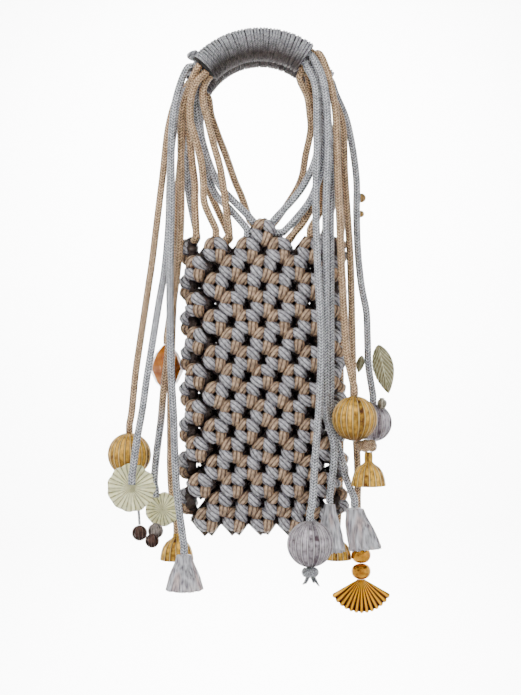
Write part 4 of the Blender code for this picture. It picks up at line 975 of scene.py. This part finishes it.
# Painted shade: from this share of the way down the satin darkens towards the bottom, by at most the next
# share
BOTTOM_SHADE_START = 0.40
BOTTOM_SHADE_MOST = 0.8
AXIS_RADIUS = 0.0002
# Thread, light, dark, seam
BALL_THREADS = (
    ("gold_thread", (0.84, 0.47, 0.070), (0.060, 0.015, 0.002), GOLD_SEAM),
    ("silver_thread", (0.58, 0.53, 0.57), (0.050, 0.032, 0.040), SILVER_SEAM),
)
# Ball, middle, radius, thread
BALLS = (
    ("gold_ball_left", (-0.104, -0.010, -0.3113), 0.0173, "gold_thread"),
    ("gold_ball_right", (0.073, -0.036, -0.2815), 0.0175, "gold_thread"),
    ("silver_ball_front", (0.038, -0.052, -0.3768), 0.0178, "silver_thread"),
    ("silver_ball_back", (0.091, 0.012, -0.2872), 0.0153, "silver_thread"),
)


def thread_finish(name, light, dark, seam, ribs):
    """Satin thread in broad panels between thin bright ribs, with painted shade by the ribs and towards the
    bottom.
    """
    material, tree, shader = start_finish(name, THREAD_ROUGHNESS, THREAD_METAL,
                                          Specular_IOR_Level=THREAD_SHINE)
    u, v = read_uv(tree)
    rib = (1 - wave(u * ribs)) ** 4
    # Painted shade in a thin groove beside each rib
    shaded_groove = (1 - abs(wave(u * ribs) - 0.45) * 3).held()
    thread = wave(u * ribs * 4 + v * 2)
    panel = make_node(tree, "ShaderNodeTexWhiteNoise", {"noise_dimensions": "1D"}, {"W": (u * ribs).floor()})
    # Painted shade towards the bottom, over the satin and, by half, over the ribs
    bottom_shade = ((v - BOTTOM_SHADE_START) * 1.7).held(BOTTOM_SHADE_MOST)
    share = mottle(tree, 260.0) * 2.2 + panel * 0.5 + thread * 0.2 - 0.9
    satin = mix_colour(tree, (share * (1 - bottom_shade) * (1 - shaded_groove * 0.9)).held(), dark, light)
    height = rib * 0.7 + thread * 0.2 - shaded_groove * 0.2
    set_surface(tree, shader, mix_colour(tree, rib * (1 - bottom_shade * 0.5), satin, seam), height, THREAD_RELIEF)
    return material


def ribs_ripple(ribs, depth):
    """Thin raised ribs round the axis, as a share of the radius."""
    def ripple(u, v):
        return 1 - depth * abs(math.sin(math.pi * ribs * u)) ** 0.5
    return ripple


def round_profile(radius, half_height, rows, fullness=1.0):
    """Half an ellipse, from the top pole to the bottom pole; less than 1 is fuller than an ellipse."""
    turns = [math.pi * i / rows for i in range(rows + 1)]
    return [(radius * abs(math.sin(turn)) ** fullness, half_height * math.cos(turn)) for turn in turns]


def add_charm(name, shape, finish):
    """A charm in place of its solid."""
    add_piece(name + "_look", shape.mesh(name + "_look", finish), name)


def add_turned(name, profile, sides, place, ripple, finish):
    """A turned charm; it closes on its axis without pinched rings."""
    shape = Shape()
    shape.turned([(max(radius, AXIS_RADIUS), height) for radius, height in profile], sides, place, ripple)
    add_charm(name, shape, finish)


threads = {name: thread_finish(name, *colours, BALL_RIBS) for name, *colours in BALL_THREADS}
for name, place, radius, thread_name in BALLS:
    add_turned(name, round_profile(radius, radius, BALL_ROWS), BALL_RIBS * POINTS_A_RIB, place,
               ribs_ripple(BALL_RIBS, BALL_RIB_DEPTH), threads[thread_name])


# Tassels. A head of wrapped silver thread, and below it a skirt of some hundred loose threads that
# flare to an even cut. The head is sewn over the cord's end.

SKIRT_FLUTES = 14
SKIRT_SIDES = 56
SKIRT_STEPS = 4
SKIRT_FOLD = 0.09
SKIRT_SWAY = 0.015
THREAD_RADIUS = 0.0006
THREAD_SIDES = 5
THREAD_STEPS = 6
THREAD_SEAT = 0.88
SKIRT_SILVER = (0.66, 0.66, 0.69)
SKIRT_BLUSH = (0.64, 0.52, 0.50)
# Painted shade, in streaks, between the loose threads
SKIRT_GAP_SHADE = (0.12, 0.105, 0.125)
STREAK = (1.0, 1.0, 0.08)
# The turn from one point to the next that never falls in line, and its share of a whole
GOLDEN_TURN = 2.39996
GOLDEN_SHARE = 0.618
# Tassel, top, length, radius of the head and of the rim, lean to the side, threads, seed
TASSELS = (
    ("silver_tassel_left", (-0.060, -0.023, -0.3883), 0.0290, 0.0063, 0.0159, 0, 150, 2),
    ("silver_tassel_inner", (0.054, -0.028, -0.3483), 0.0375, 0.0046, 0.0125, 0, 120, 4),
    ("silver_tassel_outer", (0.074, -0.018, -0.3523), 0.0335, 0.0078, 0.0142, 0.27, 140, 6),
)
# Way down the head, share of the head's radius
HEAD_PROFILE = ((0, 0.25), (0.08, 0.74), (0.30, 0.88), (0.75, 0.90), (0.95, 0.95))
# Way down the tassel, share of the rim's radius
SKIRT_PROFILE = ((0.62, 0.74), (0.96, 0.93), (0.94, 0.60))


def skirt_finish():
    """Loose silver threads, each with its own tone, painted shade between them, and blushed here and there.
    """
    material, tree, shader = start_finish("skirt_thread", YARN_ROUGHNESS, YARN_METAL)
    u, v = read_uv(tree)
    twist = wave(v * 1.6 + u)
    streak = make_node(tree, "ShaderNodeVectorMath", {"operation": "MULTIPLY"},
                       [read_place(tree), STREAK])
    blush = (mottle(tree, 170.0, 0.0, streak) * 5.0 - 2.6).held()
    light = mix_colour(tree, blush, SKIRT_SILVER, SKIRT_BLUSH)
    share = (mottle(tree, 520.0, 1.0, streak) * 2.6 - 0.8 + twist * 0.25).held()
    set_surface(tree, shader, mix_colour(tree, share, SKIRT_GAP_SHADE, light), twist, 0.0002)
    return material


def filled_profile(profile, steps):
    """A profile with so many steps from each of its points to the next."""
    fine = []
    for (radius_a, height_a), (radius_b, height_b) in zip(profile, profile[1:]):
        fine += [(radius_a + (radius_b - radius_a) * i / steps, height_a + (height_b - height_a) * i / steps)
                 for i in range(steps)]
    return [*fine, profile[-1]]


def add_tassel(name, top, fall, head_radius, rim_radius, lean, threads, seed):
    """A tassel: its wrapped head, the core of its skirt, and the threads spread round it."""
    top = Vector(top)
    head = head_radius * 1.5
    body = Shape()
    profile = [(head_radius * share, -head * down) for down, share in HEAD_PROFILE]
    profile += [(rim_radius * share, -fall * down) for down, share in SKIRT_PROFILE]
    body.turned(filled_profile(profile, SKIRT_STEPS), SKIRT_SIDES, top,
                lambda u, v: 1 - SKIRT_FOLD * v * (1 - abs(math.sin(SKIRT_FLUTES * math.pi * u))))
    for point in body.points:
        point.x += lean * fall * max((top.z - point.z - head) / (fall - head), 0)
    thread = Shape()
    reach = fall - head * 0.1
    thread.tube([(0.0004 * math.sin(i * 1.3), 0.0003 * math.cos(i * 1.9), reach * i / THREAD_STEPS)
                 for i in range(THREAD_STEPS + 1)], THREAD_RADIUS, THREAD_SIDES)
    pattern = place_object(name + "_thread", thread.mesh(name + "_thread", skirt_thread))
    aims = []
    for i in range(threads):
        turn = i * GOLDEN_TURN
        out = Vector((math.cos(turn), math.sin(turn), 0)) * (0.90 + 0.10 * (i * GOLDEN_SHARE % 1))
        start = top + out * head_radius * THREAD_SEAT - Vector((0, 0, head * 0.12))
        end = top + out * (rim_radius - 0.0005) + Vector((lean * fall, 0, -fall))
        aims.append((start, (end - start).normalized(), Vector((-math.sin(turn), math.cos(turn), 0))))
    skirt = spread_pattern(name, pattern, aims, SKIRT_SWAY, seed, skirt_thread)
    look = join_meshes(name + "_look", skirt, body.mesh(name + "_body", skirt_thread))
    add_piece(name + "_look", look, name)


skirt_thread = skirt_finish()
for tassel in TASSELS:
    add_tassel(*tassel)


# Bells. They are hollow and open below, of gold satin thread over ribs like the balls. Each hangs by
# a short neck.

BELL_RIBS = 16
# Radius and height, down the outside and up again inside
BELL_PROFILE = (
    (0.0030, 0.0), (0.0033, -0.0010), (0.0032, -0.0026), (0.0046, -0.0040), (0.0086, -0.0068),
    (0.0112, -0.0106), (0.0126, -0.0150), (0.0133, -0.0192), (0.0136, -0.0210), (0.0126, -0.0212),
    (0.0112, -0.0160), (0.0096, -0.0115), (0.0070, -0.0080), (0.0030, -0.0062),
)
BELL_RIB_DEPTH = 0.05
BELL_STEPS = 3
BELL_LIGHT = (0.88, 0.50, 0.070)
BELL_DARK = (0.070, 0.018, 0.002)
# Bell, top, size beside the profile's, what its neck gains in length
BELLS = (
    ("gold_bell_left", (-0.067, 0.001, -0.3753), 1.0, 0.0),
    ("gold_bell_right", (0.0838, -0.036, -0.3076), 1.0, 0.005),
    ("gold_bell_back", (0.062, 0.014, -0.3793), 0.88, 0.0),
)

bell_gold = thread_finish("bell_gold", BELL_LIGHT, BELL_DARK, GOLD_SEAM, BELL_RIBS)
for name, top, share, neck in BELLS:
    profile = [(radius * share, height * share - neck * min(i / 2, 1))
               for i, (radius, height) in enumerate(BELL_PROFILE)]
    add_turned(name, filled_profile(profile, BELL_STEPS), BELL_RIBS * POINTS_A_RIB, top,
               ribs_ripple(BELL_RIBS, BELL_RIB_DEPTH), bell_gold)


# Fan and its beads. A flat fan of gilt metal foil, folded in pleats from a narrow neck, hangs under
# two polished gilt beads.

FAN_PLEATS = 13
FAN_SWING = 1.05
FAN_POINTS = FAN_PLEATS * 16
FAN_ROWS = 24
FAN_TOP = Vector((0.081, 0.008, -0.4131))
FAN_TOP_RADIUS = 0.0036
FAN_NECK = 0.0042
FAN_NECK_DEPTH = 0.0044
FAN_RIM_DEPTH = 0.0080
FAN_LENGTH = 0.0222
FAN_SCALLOP = 0.0012
FAN_FOLD = 0.30
FAN_RISE = 0.0016
BEAD_RADIUS = 0.0079
BEAD_HALF_HEIGHT = 0.0063
BEAD_FULLNESS = 0.7
BEAD_ROWS = 18
BEAD_SIDES = 56
BEAD_RIBS = 14
BEAD_RIB_DEPTH = 0.01
BEAD_HEIGHTS = (("fan_bead_upper", -0.3936), ("fan_bead_lower", -0.4065))
GILT_METAL = 0.85
FOIL_GOLD = (0.92, 0.42, 0.018)
# Painted shade in the folds of the pleats
FOIL_FOLD_SHADE = (0.055, 0.010, 0.001)
BEAD_GOLD = (0.74, 0.36, 0.035)
BEAD_BROWN = (0.24, 0.08, 0.006)


def foil_finish():
    """Gold foil in pleats, bright on the ridges, with painted shade in the folds."""
    material, tree, shader = start_finish("fan_gold", 0.32, GILT_METAL)
    ridge = wave(read_uv(tree)[0] * FAN_PLEATS * 2) ** 2.6
    # Painted shade: the foil darkens away from each ridge into the folds
    gold = mix_colour(tree, (ridge * 1.05 - 0.04).held(), FOIL_FOLD_SHADE, FOIL_GOLD)
    set_surface(tree, shader, gold, ridge * 0.7, 0.0003)
    return material


def polished_finish():
    """Polished gilt metal, a little darker in its casting marks."""
    material, tree, shader = start_finish("bead_gold", 0.2, GILT_METAL)
    spots = mottle(tree, 180.0)
    gold = mix_colour(tree, (spots * 2.2 - 0.6).held(), BEAD_BROWN, BEAD_GOLD)
    set_surface(tree, shader, gold, spots, 0.0002)
    return material


fan_turns = [math.tau * j / FAN_POINTS for j in range(FAN_POINTS)]
fan_rows = [[FAN_TOP + FAN_TOP_RADIUS * Vector((math.cos(turn), -math.sin(turn), 0)) for turn in fan_turns]]
for i in range(FAN_ROWS + 1):
    down = i / FAN_ROWS
    half_depth = FAN_NECK_DEPTH + (FAN_RIM_DEPTH - FAN_NECK_DEPTH) * down
    row = []
    for turn in fan_turns:
        swing = FAN_SWING * (2 * abs(1 - turn / math.pi) - 1)
        ridge = abs(math.sin(FAN_PLEATS * turn))
        reach = FAN_NECK + (FAN_LENGTH + FAN_SCALLOP * ridge) * down
        deep = half_depth * math.sin(turn) * (1 - FAN_FOLD * down * (1 - ridge))
        row.append(FAN_TOP + Vector((reach * math.sin(swing), -deep, FAN_RISE - reach * math.cos(swing))))
    fan_rows.append(row)
fan = Shape()
fan.grid(fan_rows, lambda i, j: (j / FAN_POINTS, i / (FAN_ROWS + 1)))
add_charm("gold_fan", fan, foil_finish())

bead_gold = polished_finish()
for name, height in BEAD_HEIGHTS:
    profile = round_profile(BEAD_RADIUS, BEAD_HALF_HEIGHT, BEAD_ROWS, BEAD_FULLNESS)
    add_turned(name, profile, BEAD_SIDES, (FAN_TOP.x, FAN_TOP.y, height),
               ribs_ripple(BEAD_RIBS, BEAD_RIB_DEPTH), bead_gold)


# Shells and berries. Two round scallops of pale enamel on thin brass, pleated from the middle out.
# Under the large one a thin cord holds three small ribbed berries.

SHELL_MIDDLE = 0.0004
SHELL_ROWS = 10
POINTS_A_PLEAT = 10
SHELL_WAVE = 0.0017
SHELL_CREASE = 0.0008
SHELL_THICKNESS = 0.0012
SHELL_RUFFLE = 0.03
# Shell, its middle, radius, pleats
SHELLS = (
    ("shell_large", (-0.101, -0.0291, -0.336), 0.0186, 11),
    ("shell_small", (-0.078, -0.0081, -0.355), 0.0135, 9),
)
ENAMEL_RELIEF = 0.0005
ENAMEL_GREEN = (0.80, 0.76, 0.36)
ENAMEL_PALE = (0.95, 0.94, 0.66)
ENAMEL_FOLD = (0.13, 0.11, 0.02)
BERRY_RIBS = 12
BERRY_RIB_DEPTH = 0.09
BERRY_ROWS = 14
# Thread, light, dark, seam
BERRY_THREADS = (
    ("berry_brown", (0.13, 0.075, 0.06), (0.015, 0.008, 0.007), (0.20, 0.13, 0.10)),
    ("berry_silver", (0.34, 0.29, 0.26), (0.04, 0.03, 0.025), (0.45, 0.40, 0.36)),
)
# Berry, middle, radius, thread, slot
BERRIES = (
    ("berry_dark", (-0.0946, -0.0263, -0.3715), 0.0061, "berry_brown", "dark_metal"),
    ("berry_pale", (-0.0821, -0.0263, -0.3699), 0.0061, "berry_silver", "silver_thread"),
    ("berry_bell", (-0.0841, -0.036, -0.3764), 0.0055, "berry_brown", "dark_metal"),
)
STEM_DIAMETER = 0.0022
STEM_SIDES = 12
# Columns, plaits a diameter, depth
STEM_BRAID = (4, 1.4, 0.1)
STEM_ROUTE = ((-0.0980, -0.0263, -0.3360), (-0.0968, -0.0263, -0.3455), (-0.0952, -0.0263, -0.3560),
              (-0.0946, -0.0263, -0.3651))


def enamel_finish(pleats, creases):
    """Pale green and gold enamel, darker in the folds."""
    material, tree, shader = start_finish(f"shell_enamel_{pleats}", 0.33, 0.15, Coat_Weight=0.3)
    fold = wave(read_uv(tree)[0] * creases)
    spots = mottle(tree, 300.0)
    pale = mix_colour(tree, spots, ENAMEL_GREEN, ENAMEL_PALE)
    share = (fold * 1.1 + spots * 0.8 - 0.25).held()
    set_surface(tree, shader, mix_colour(tree, share, ENAMEL_FOLD, pale), fold, ENAMEL_RELIEF)
    return material


def add_shell(name, place, radius, pleats):
    """A round pleated scallop that faces the front; its rim is ruffled and its middle sunk."""
    place = Vector(place)
    creases = round(pleats * 2.5)
    wide = pleats * POINTS_A_PLEAT
    shares = [i / SHELL_ROWS for i in range(SHELL_ROWS + 1)]
    rows = []
    for side, share in [*[(-1, share) for share in shares], *[(1, share) for share in reversed(shares)]]:
        reach = SHELL_MIDDLE + (radius - SHELL_MIDDLE) * share
        row = []
        for j in range(wide):
            turn = math.tau * j / wide
            fold = math.cos(pleats * turn)
            crease = abs(math.sin(creases / 2 * turn)) - 0.5
            deep = SHELL_WAVE * fold * share ** 2 + SHELL_CREASE * crease * share ** 0.7
            out = reach * (1 + SHELL_RUFFLE * share * fold)
            row.append(place + Vector((out * math.cos(turn), deep + side * SHELL_THICKNESS / 2,
                                       out * math.sin(turn))))
        rows.append(row)
    shape = Shape()
    shape.grid(rows, lambda i, j: (j / wide, i / (len(rows) - 1)))
    add_charm(name, shape, enamel_finish(pleats, creases))


for shell in SHELLS:
    add_shell(*shell)

berry_threads = {name: thread_finish(name, *colours, BERRY_RIBS) for name, *colours in BERRY_THREADS}
for name, place, radius, thread_name, slot_name in BERRIES:
    add_turned(name, round_profile(radius, radius, BERRY_ROWS), BERRY_RIBS * POINTS_A_RIB, place,
               ribs_ripple(BERRY_RIBS, BERRY_RIB_DEPTH), berry_threads[thread_name])

stem_line, _ = smooth_line(STEM_ROUTE, CORD_RING_STEP)
stem_shape = Shape()
stem_shape.tube(stem_line, STEM_DIAMETER / 2, STEM_SIDES, ripple=braid_ripple(*STEM_BRAID))
stem = add_piece("berry_stem_braid", stem_shape.mesh("berry_stem_braid", silver_cord),
                 "berry_stem")


# Knots and small beads. The rose cord of the right gold ball is tied in a round knot over its bell.
# The front silver ball's cord is knotted under it and cut short, and its end has frayed to two points.

KNOT_ROUNDS = 3
KNOT_POINTS = 48
FRAYED_TOP = Vector((0.038, -0.052, -0.3946))
FRAYED_THREADS = 64
SMALL_RIBS = 10
SMALL_RIB_DEPTH = 0.08
SMALL_SIDES = 60
BRASS_ROWS = 12
POT_PLACE = (0.0973, 0.0023, -0.2713)
POT_PROFILE = ((0.0012, 0.0046), (0.0022, 0.0044), (0.0020, 0.0034), (0.0036, 0.0022), (0.0041, 0.0002),
               (0.0036, -0.0022), (0.0022, -0.0040), (0.0010, -0.0046))
OLD_BRASS = (0.50, 0.30, 0.10)
BRASS_DARK = (0.07, 0.04, 0.02)
OLD_SILVER = (0.42, 0.39, 0.30)
SILVER_DARK = (0.05, 0.04, 0.03)
# Bead, middle, radius
BRASS_BEADS = (
    ("brass_bead_upper", (0.0812, 0.0076, -0.106), 0.0037),
    ("brass_bead_lower", (0.0807, 0.0069, -0.119), 0.0028),
)


def tie_knot(shape, place, radius, half_height, cord_radius):
    """Rounds of cord that cross over and under each other, as a round knot, over a plain core."""
    place = Vector(place)
    for first in range(KNOT_ROUNDS):
        line = []
        for i in range(KNOT_POINTS + 1):
            turn = math.tau * i / KNOT_POINTS
            weave = turn * 2 + math.tau * first / KNOT_ROUNDS
            reach = radius - cord_radius - 0.0005 + 0.0005 * math.cos(weave * 2)
            line.append(place + Vector((reach * math.cos(turn), reach * math.sin(turn),
                                        (half_height - cord_radius) * math.sin(weave))))
        shape.tube(line, cord_radius, 10, caps=False)
    shape.turned([(AXIS_RADIUS, half_height * 0.6), (radius * 0.6, half_height * 0.5), (radius * 0.75, 0),
                  (radius * 0.6, -half_height * 0.5), (AXIS_RADIUS, -half_height * 0.6)], 24, place)


def old_metal_finish(name, light, dark):
    """Old cast metal, brighter by wear where it is raised."""
    material, tree, shader = start_finish(name, 0.4, 0.6)
    spots = mottle(tree, 500.0, 4.0)
    share = (wave(read_uv(tree)[0] * SMALL_RIBS) * 0.5 + spots * 0.9 - 0.3).held()
    set_surface(tree, shader, mix_colour(tree, share, dark, light), spots, 0.0002)
    return material


ball_knot = Shape()
tie_knot(ball_knot, (0.0823, -0.036, -0.3027), 0.0083, 0.0046, 0.0017)
add_charm("gold_ball_knot", ball_knot, rose_cord)

frayed = Shape()
tie_knot(frayed, FRAYED_TOP + Vector((0, 0, -0.0038)), 0.0068, 0.0036, 0.0015)
for i in range(FRAYED_THREADS):
    turn = i * GOLDEN_TURN
    side = 1 if math.cos(turn) > 0 else -1
    share = i * GOLDEN_SHARE % 1
    start = FRAYED_TOP + Vector((0.0034 * math.cos(turn), 0.0028 * math.sin(turn), -0.0056))
    end = FRAYED_TOP + Vector((side * (0.0018 + 0.0052 * share), 0.0026 * math.sin(turn),
                               -0.0108 - 0.0038 * share))
    bow = Vector((side * 0.0008, 0, -0.0006))
    frayed.tube([start, start.lerp(end, 0.35) - bow, start.lerp(end, 0.7) - bow * 0.5, end],
                THREAD_RADIUS, THREAD_SIDES)
add_charm("silver_ball_knot", frayed, silver_cord)

old_brass = old_metal_finish("old_brass", OLD_BRASS, BRASS_DARK)
old_silver = old_metal_finish("old_silver", OLD_SILVER, SILVER_DARK)
small_ripple = ribs_ripple(SMALL_RIBS, SMALL_RIB_DEPTH)
add_turned("pot_bead", POT_PROFILE, SMALL_SIDES, POT_PLACE, small_ripple, old_silver)
for name, place, radius in BRASS_BEADS:
    add_turned(name, round_profile(radius, radius, BRASS_ROWS), SMALL_SIDES, place, small_ripple, old_brass)


# Leaves. Two thin cast leaves of old olive bronze, a large one and a small one, with a midrib and
# slanting veins. Each is wired to the cord by its stalk end.

LEAF_ROWS = 48
LEAF_POINTS = 12
LEAF_VEINS = 9
LEAF_TOOTH = 0.10
LEAF_MIDRIB = 0.0006
LEAF_VEIN = 0.0003
LEAF_CUP = 0.0008
LEAF_THICKNESS = 0.0006
LEAF_EDGE = 0.0002
LEAF_STALK = 0.0003
LEAF_RELIEF = 0.0004
LEAF_DARK = (0.13, 0.11, 0.045)
LEAF_OLIVE = (0.66, 0.64, 0.42)
# Leaf, middle, length, width, turn in degrees, teeth
LEAVES = (
    ("leaf_large", (0.0991, 0.009, -0.2437), 0.040, 0.017, -12, 11),
    ("leaf_small", (0.0804, 0.008, -0.2397), 0.014, 0.006, 12, 0),
)


def leaf_finish():
    """Olive bronze, bright on the midrib and veins."""
    material, tree, shader = start_finish("leaf_bronze", 0.45, 0.35)
    u, v = read_uv(tree)
    across = abs(u - 0.5) * 2
    vein = wave(v * LEAF_VEINS - across * 3.2) ** 6
    rib = 1 - across.calc("SMOOTH_MIN", across * 14, 1.0, 0.2)
    share = (vein * 0.5 + rib * 0.7 + mottle(tree, 350.0, 4.0) * 0.7 - 0.25).held()
    olive = mix_colour(tree, share, LEAF_DARK, LEAF_OLIVE)
    set_surface(tree, shader, olive, vein * 0.6 + rib * 0.6, LEAF_RELIEF)
    return material


def add_leaf(name, place, length, width, degrees, teeth):
    """A closed thin leaf, stalk at the top, toothed along its left edge."""
    place = Vector(place)
    turn = Matrix.Rotation(math.radians(degrees), 3, "Y")
    rows = []

    def way(j):
        """Across the leaf, there in front and back again behind."""
        return (j if j < LEAF_POINTS else 2 * LEAF_POINTS - 1 - j) / (LEAF_POINTS - 1)

    for i in range(LEAF_ROWS + 1):
        down = i / LEAF_ROWS
        half = width / 2 * math.sin(math.pi * down ** 0.85) ** 0.8 + LEAF_STALK
        tooth = 1 - LEAF_TOOTH * (down * teeth % 1)
        row = []
        for j in range(2 * LEAF_POINTS):
            side = -1 if j < LEAF_POINTS else 1
            share = way(j) * 2 - 1
            across = share * half * (tooth if share < 0 else 1)
            vein = abs(math.sin(math.pi * (down * LEAF_VEINS - abs(share) * 1.6))) ** 5
            ridge = LEAF_MIDRIB * math.exp(-(share * 5) ** 2) + LEAF_VEIN * vein
            thick = LEAF_THICKNESS * (1 - share * share) + LEAF_EDGE
            deep = side * thick + LEAF_CUP * share * share - (ridge if side < 0 else 0)
            row.append(place + turn @ Vector((across, deep, length * (0.5 - down))))
        rows.append(row)
    shape = Shape()
    shape.grid(rows, lambda i, j: (way(j), i / LEAF_ROWS))
    add_charm(name, shape, leaf_bronze)


leaf_bronze = leaf_finish()
for leaf in LEAVES:
    add_leaf(*leaf)


# Crystal. One drop of orange glass, cut in facets and pierced from end to end. Its cord runs in at
# the top and is glued there.

CRYSTAL_PLACE = (-0.076, 0.018, -0.2428)
CRYSTAL_FACETS = 10
AMBER_DEEP = (0.16, 0.030, 0.003)
AMBER_LIGHT = (0.62, 0.20, 0.012)
CRYSTAL_PROFILE = ((0.0030, 0.0185), (0.0090, 0.0120), (0.0138, 0.0020), (0.0138, -0.0020),
                   (0.0090, -0.0120), (0.0030, -0.0185))


def amber_finish():
    """Orange glass, glossy and of uneven depth."""
    material, tree, shader = start_finish("amber_glass", 0.12, 0.0, Coat_Weight=0.4)
    amber = mix_colour(tree, mottle(tree, 120.0, 2.0), AMBER_DEEP, AMBER_LIGHT)
    tree.links.new(amber.socket, shader.inputs["Base Color"])
    return material


crystal = Shape()
crystal.turned(CRYSTAL_PROFILE, CRYSTAL_FACETS, CRYSTAL_PLACE)
crystal_mesh = crystal.mesh("amber_crystal_look", amber_finish())
crystal_mesh.shade_flat()
add_piece("amber_crystal_look", crystal_mesh, "amber_crystal")
